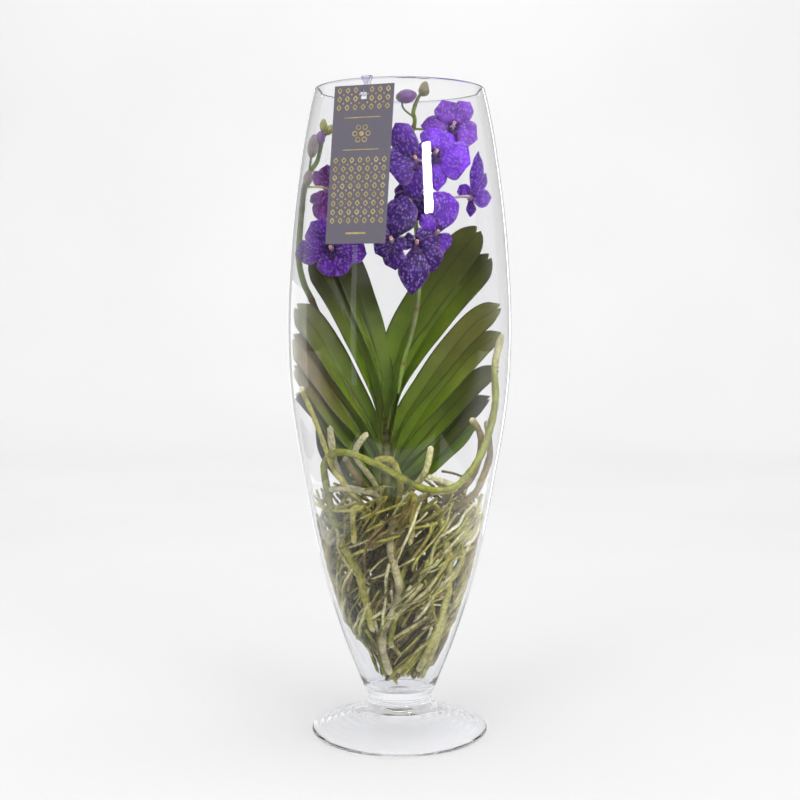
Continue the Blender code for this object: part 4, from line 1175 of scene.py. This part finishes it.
ROOT_CROWN = ((386, 524, 2), (385, 550, 3), (387, 585, 3), (391, 620, 0))
ROOT_CROWN_RADII = (0.0085, 0.009, 0.0075, 0.005)
ROOT_CROWN_ROWS = 20
ROOT_START = (385, 536, 2)
SHOWN_ROOTS = (
    ((ROOT_START, (350, 528, -40), (318, 512, -70), (313, 466, -72), (340, 452, -84), (371, 462, -92),
      (398, 475, -96), (421, 487, -95), (441, 491, -90), (458, 487, -82), (470, 474, -72), (480, 455, -58),
      (489, 430, -48), (495, 399, -40), (494, 366, -36), (501, 334, -30)), 3.6),
    (((384, 545, 2), (372, 516, -58), (344, 484, -80), (331, 471, -80), (320, 450, -78), (310, 422, -68),
      (303, 405, -60), (295, 386, -48)), 2.6),
    ((ROOT_START, (378, 498, -50), (366, 492, -78), (346, 488, -86), (321, 490, -70)), 3.4),
    ((ROOT_START, (378, 500, -30), (358, 478, -62), (344, 457, -72)), 3.4),
    ((ROOT_START, (360, 505, -20), (338, 470, -46), (330, 425, -52)), 3.6),
    ((ROOT_START, (378, 490, -28), (355, 455, -40), (367, 432, -56)), 3.4),
    ((ROOT_START, (400, 492, -40), (392, 461, -66), (375, 461, -74)), 3.6),
    ((ROOT_START, (408, 495, -40), (424, 472, -70), (431, 446, -74)), 3.6),
    ((ROOT_START, (420, 498, -40), (455, 487, -60), (428, 477, -84)), 3.4),
    ((ROOT_START, (430, 510, -20), (470, 480, -30), (481, 440, -38), (470, 418, -44)), 3.5),
    ((ROOT_START, (420, 520, -30), (470, 497, -50), (489, 460, -34), (486, 420, -16)), 3.6),
    ((ROOT_START, (410, 505, -60), (414, 498, -84), (409, 545, -82)), 3.4),
    ((ROOT_START, (366, 508, -66), (352, 512, -82), (350, 545, -78)), 3.4),
    ((ROOT_START, (345, 540, -50), (356, 575, -70), (375, 632, -50)), 4.4),
)
MASS_ROOTS = 16
MASS_SEED = 7
MASS_TURN = radians(137.5)
MASS_RADII = (0.0028, 0.004)
MASS_START_HEIGHTS = (0.22, 0.14)
MASS_CREST_RISES = (0.01, 0.085)
MASS_END_HEIGHTS = (0.062, 0.135)
MASS_COURSE = ((0.5, -0.02), (0.95, 0.14), (1, 0.42), (1, 0.75), (0.92, 1))
MASS_WOBBLE = 0.18
ROOT_SIDES = 6
ROOT_STEP = 0.01
ROOT_LOWEST = 0.055
ROOT_STATION = 0.0052
ROOT_WAVE = 0.03
ROOT_BLUNT = 2.2
GREEN_TIP = 0.008
SHOWN_TIP_SHARE = 0.1
SHOWN_WANDER = 0.0006
FINE_WANDER = 0.0008
HEADING_JITTER = 0.16
GATHERED_TO = 0.66
GATHERED_FROM = 0.065
GATHERED_OVER = 0.075
FINE_SEED = 11
ROOT_OLIVE = srgb(166, 161, 80)
ROOT_MOSS = srgb(132, 135, 50)
ROOT_SILVER = srgb(212, 208, 170)
ROOT_TIP = srgb(212, 208, 172)
ROOT_BROWN = srgb(126, 108, 64)
# The next colour is painted shade, for roots deep in the mass.
ROOT_SHADE = srgb(80, 73, 42)
OUTER_TONES = (ROOT_OLIVE, ROOT_OLIVE, ROOT_MOSS, ROOT_SILVER, ROOT_BROWN)
# Tones for the inner roots, browner and darker: painted shade for the depths of the mass.
SHADED_INNER_TONES = (ROOT_BROWN, ROOT_SHADE, ROOT_MOSS)
SHOWN_TONES = {0: (ROOT_OLIVE, ROOT_MOSS), 1: (ROOT_OLIVE,), 9: (ROOT_OLIVE, ROOT_BROWN), 10: (ROOT_BROWN,)}

# Finer roots: how many, tones, and the ranges of their radii, lengths, layers (1 is at the glass), start
# heights and leans from straight down. Near the bowl's floor they are gathered towards the axis

CURLS = (-6, 6)
FINE_ROOTS = (
    (190, OUTER_TONES, (0.001, 0.0021), (0.05, 0.115), (0.9, 1), (0.12, 0.266), (0.45, 1.1)),
    (60, OUTER_TONES, (0.0011, 0.0022), (0.03, 0.09), (0.86, 1), (0.1, 0.265), (-0.7, 1.3)),
    (36, OUTER_TONES, (0.0012, 0.0026), (0.018, 0.045), (0.92, 1), (0.085, 0.245), (-2.4, 2.4)),
    (80, OUTER_TONES, (0.0011, 0.0022), (0.05, 0.1), (0.66, 1), (0.236, 0.272), (0.35, 1.2)),
    # The inner layers take the darker tones, painted shade for the depths of the mass.
    (100, SHADED_INNER_TONES, (0.0014, 0.0028), (0.05, 0.12), (0.62, 0.9), (0.11, 0.266), (-0.2, 1.3)),
    (80, SHADED_INNER_TONES, (0.0018, 0.0036), (0.05, 0.12), (0.15, 0.6), (0.1, 0.266), (-1, 1.2)),
    (26, OUTER_TONES, (0.001, 0.002), (0.03, 0.08), (0.55, 0.98), (0.255, 0.285), (0.3, 1.7)),
)


def add_root(shape, points, radius, rng, tip_share=0.12, wander=0.0012, tones=OUTER_TONES):
    """One root along a smooth route, with a slight wander, a swelling skin and a blunt pale tip."""
    length = sum((b - a).length for a, b in zip(points, points[1:]))
    stations = max(9, min(90, round(length / ROOT_STATION)))
    turns = [rng.uniform(0, 6.28) for _ in range(3)]
    path = []
    for k, point in enumerate(smooth_path(points, stations)):
        s = length * k / (stations - 1) / ROOT_WAVE
        sway = Vector([sin(s * (1 + 0.3 * j) + turn) for j, turn in enumerate(turns)])
        path.append(kept_inside(point + sway * wander, radius * 1.1 + GLASS_GAP))
    radii, colours = [], []
    tone = mixed(rng.choice(tones), rng.choice(tones), rng.uniform(0, 0.6))
    blunt = ROOT_BLUNT * radius / length
    for t in shares(stations):
        lump = 1 + 0.07 * sin(t * length * 420 + turns[0]) + 0.05 * sin(t * length * 950 + turns[1])
        end = sqrt(max(1 - max((t - (1 - blunt)) / blunt, 0) ** 2, 0.04))
        radii.append(radius * lump * end)
        colours.append(mixed(tone, ROOT_TIP, 0.85 * eased((t - 1 + tip_share) / tip_share)))
    add_tube(shape, path, radii, ROOT_SIDES, colours, rng.uniform(0, 5))


def mass_root_points(rng, k):
    """One root of the mass: out to the glass or part way, then down and round inside it."""
    share = k / (MASS_ROOTS - 1)
    drift = -rng.uniform(0.3, 1.7)
    outward = rng.uniform(0.88, 1) if k % 3 else rng.uniform(0.35, 0.65)
    start_height = mix(*MASS_START_HEIGHTS, share)
    crest = start_height + rng.uniform(*MASS_CREST_RISES) * (1 - 0.5 * share)
    end_height = rng.uniform(*MASS_END_HEIGHTS)
    points = [Vector((-0.014 + 0.012 * share, 0.002, start_height))]
    for i, (out, fall) in enumerate(MASS_COURSE):
        height = mix(crest, end_height, fall)
        wobble = rng.uniform(-MASS_WOBBLE, MASS_WOBBLE)
        angle = MASS_TURN * k + drift * (i + 1) / len(MASS_COURSE) + wobble
        points.append(polar(inner_radius(height) * outward * out, angle, height))
    return points


def wandering_root(rng, length, layer, height, heading, curl):
    """A finer root that runs down the bowl at one depth, leaning and curling as it goes."""
    angle = rng.uniform(0, 2 * pi)
    phase = rng.uniform(0, 2 * pi)
    points = []
    while len(points) * ROOT_STEP < length and height > ROOT_LOWEST:
        taper = mix(GATHERED_TO, 1, eased((height - GATHERED_FROM) / GATHERED_OVER))
        reach = inner_radius(height) * min(layer + 0.06 * sin(phase + 0.9 * len(points)), 1) * taper
        points.append(polar(reach, angle, height))
        heading += curl * ROOT_STEP + rng.uniform(-HEADING_JITTER, HEADING_JITTER)
        height -= ROOT_STEP * cos(heading)
        angle -= ROOT_STEP * sin(heading) / max(reach, 0.015)
    return points


def make_roots():
    shape = Shape()
    crown = smooth_path(seen_line(ROOT_CROWN), ROOT_CROWN_ROWS)
    girths = smooth_values(ROOT_CROWN_RADII, ROOT_CROWN_ROWS)
    add_tube(shape, crown, girths, 14, [ROOT_BROWN] * ROOT_CROWN_ROWS)
    rng = random.Random(MASS_SEED)
    mass = [(rng.uniform(*MASS_RADII), mass_root_points(rng, k)) for k in range(MASS_ROOTS)]
    rng = random.Random(FINE_SEED)
    for k, (line, radius) in enumerate(SHOWN_ROOTS):
        tones = SHOWN_TONES.get(k, OUTER_TONES)
        add_root(shape, seen_line(line), radius / 1000, rng, SHOWN_TIP_SHARE, SHOWN_WANDER, tones)
    for radius, points in mass:
        add_root(shape, points, radius, rng)
    for count, tones, radii, *ranges in FINE_ROOTS:
        for _ in range(count):
            length, *course = (rng.uniform(*ends) for ends in (*ranges, CURLS))
            points = wandering_root(rng, length, *course)
            if len(points) > 3:
                add_root(shape, points, rng.uniform(*radii), rng, GREEN_TIP / length, FINE_WANDER, tones)
    placed(shape.made("root_mass", root_finish()), "root_olive", "aerial_roots")


# Stage, light and camera

FLOOR_GAP = 0.0004
FLOOR_NEAR = -6
FLOOR_TURN = 2.4
SWEEP_RADIUS = 1.2
SWEEP_STEPS = 24
WALL_TOP = 4
STAGE_HALF_WIDTH = 6
MIRRORED_DARK_TO = -0.6
MIRRORED_PALE_FROM = 0.1
ROOM_LIGHT = 0.88
MIRRORED_ROOM = (("Y", 0.05, 0.7, 0.05, 0.9), ("Z", 0.3, 0.9, 0, 0.9))

# Lights, as name, place, size and power, and where they point if not level at the axis. Only the glass
# shows the first: a softbox, lines down its sides, a patch at its left, and low ones for the foot

GLASS_LIGHTS = (
    ("softbox", (0.818, -1.38, 1.12), (0.27, 0.285), 22, (0.028, -0.105, 0.6)),
    ("right_line", (0.46, 0.76, 0.42), (0.09, 1), 0.8),
    ("left_line", (-0.3, 0.8, 0.42), (0.05, 1), 0.35),
    ("left_patch", (-0.68, 0.42, 0.4), (0.56, 0.26), 0.6),
    ("front_streak", (-0.95, -0.95, 0.5), (0.13, 0.7), 0.45),
    ("low_right", (0.5, -0.05, 0.065), (0.9, 0.12), 0.45),
    ("low_left", (-0.5, -0.05, 0.065), (0.9, 0.12), 0.45),
    ("low_front", (0, -0.6, 0.05), (0.9, 0.09), 0.25),
)
ROOM_LIGHTS = (
    ("overhead", (0, -0.1, 2.3), (1.8, 1.8), 11, (0, 0, 0.4)),
    ("front_left", (-2.34, -3.06, 1.9), (2.1, 2.1), 30, (0, 0, 0.4)),
    ("front_right", (2.52, -2.88, 1.6), (2.1, 2.1), 30, (0, 0, 0.4)),
    ("wall_wash", (0, 1.3, 2.8), (3.2, 0.6), 18, (0, 3.6, 2.1)),
)


def make_stage():
    """A floor, a hair below the foot, that runs up into a wall far behind the vase."""
    profile = [(FLOOR_NEAR, 0)]
    for k in range(SWEEP_STEPS + 1):
        a = pi / 2 * k / SWEEP_STEPS
        profile.append((FLOOR_TURN + SWEEP_RADIUS * sin(a), SWEEP_RADIUS * (1 - cos(a))))
    profile.append((FLOOR_TURN + SWEEP_RADIUS, WALL_TOP))
    sides = (-STAGE_HALF_WIDTH, STAGE_HALF_WIDTH)
    shape = Shape()
    points = [(x, y, z - FLOOR_GAP) for y, z in profile for x in sides]
    shape.add(points, [(a, a + 1, a + 3, a + 2) for a in range(0, len(points) - 2, 2)])
    shape.made("stage_sweep", stage_finish())


def add_area(on_glass, name, place, size, power, target=None):
    light = bpy.data.lights.new(name, "AREA")
    light.shape = "RECTANGLE"
    light.size, light.size_y = size
    light.energy = power
    obj = linked(name, light)
    obj.visible_camera = False
    obj.visible_transmission = False
    obj.visible_glossy = on_glass
    obj.visible_diffuse = not on_glass
    obj.location = place
    way = Vector(target or (0, 0, place[2])) - Vector(place)
    obj.rotation_euler = way.to_track_quat("-Z", "Y").to_euler()


def make_room():
    """An evenly pale room, and a darker one, bright behind and above, in what the glass mirrors once."""
    world = bpy.data.worlds.new("studio")
    bpy.context.scene.world = world
    world.use_nodes = True
    room = Nodes(world.node_tree)
    way = room.node("SeparateXYZ", room.node("TexCoord").outputs["Generated"])
    ramps = [room.node("MapRange", way.outputs[axis], *levels) for axis, *levels in MIRRORED_ROOM]
    mirrored = room.math("ADD", *[ramp.outputs["Result"] for ramp in ramps])
    once = room.math("COMPARE", room.glossy_depth(), 1, 0.5)
    strength = room.node("Mix", once, A=ROOM_LIGHT, B=mirrored).outputs["Result"]
    back = world.node_tree.nodes["Background"]
    room.feed(back.inputs["Color"], WHITE)
    room.feed(back.inputs["Strength"], strength)


def make_lights():
    for light in GLASS_LIGHTS:
        add_area(True, *light)
    for light in ROOM_LIGHTS:
        add_area(False, *light)


def make_camera():
    lens = bpy.data.cameras.new("view")
    lens.sensor_width = SENSOR_WIDTH
    lens.lens = SENSOR_WIDTH * FOCAL_PIXELS / FRAME_PIXELS
    camera = linked("view", lens)
    camera.location = (EYE_X, -EYE_DISTANCE, EYE_HEIGHT)
    camera.rotation_euler = (pi / 2 - EYE_PITCH, 0, 0)
    scene = bpy.context.scene
    scene.camera = camera
    scene.view_settings.view_transform = "Standard"
    scene.cycles.max_bounces = BOUNCES
    scene.cycles.transmission_bounces = BOUNCES
    scene.cycles.transparent_max_bounces = BOUNCES


def main():
    make_camera()
    make_stage()
    make_room()
    make_lights()
    make_vase()
    make_tag()
    make_hook()
    make_leafy_stem()
    make_blooms()
    make_spike("right")
    make_spike("left")
    make_roots()


main()
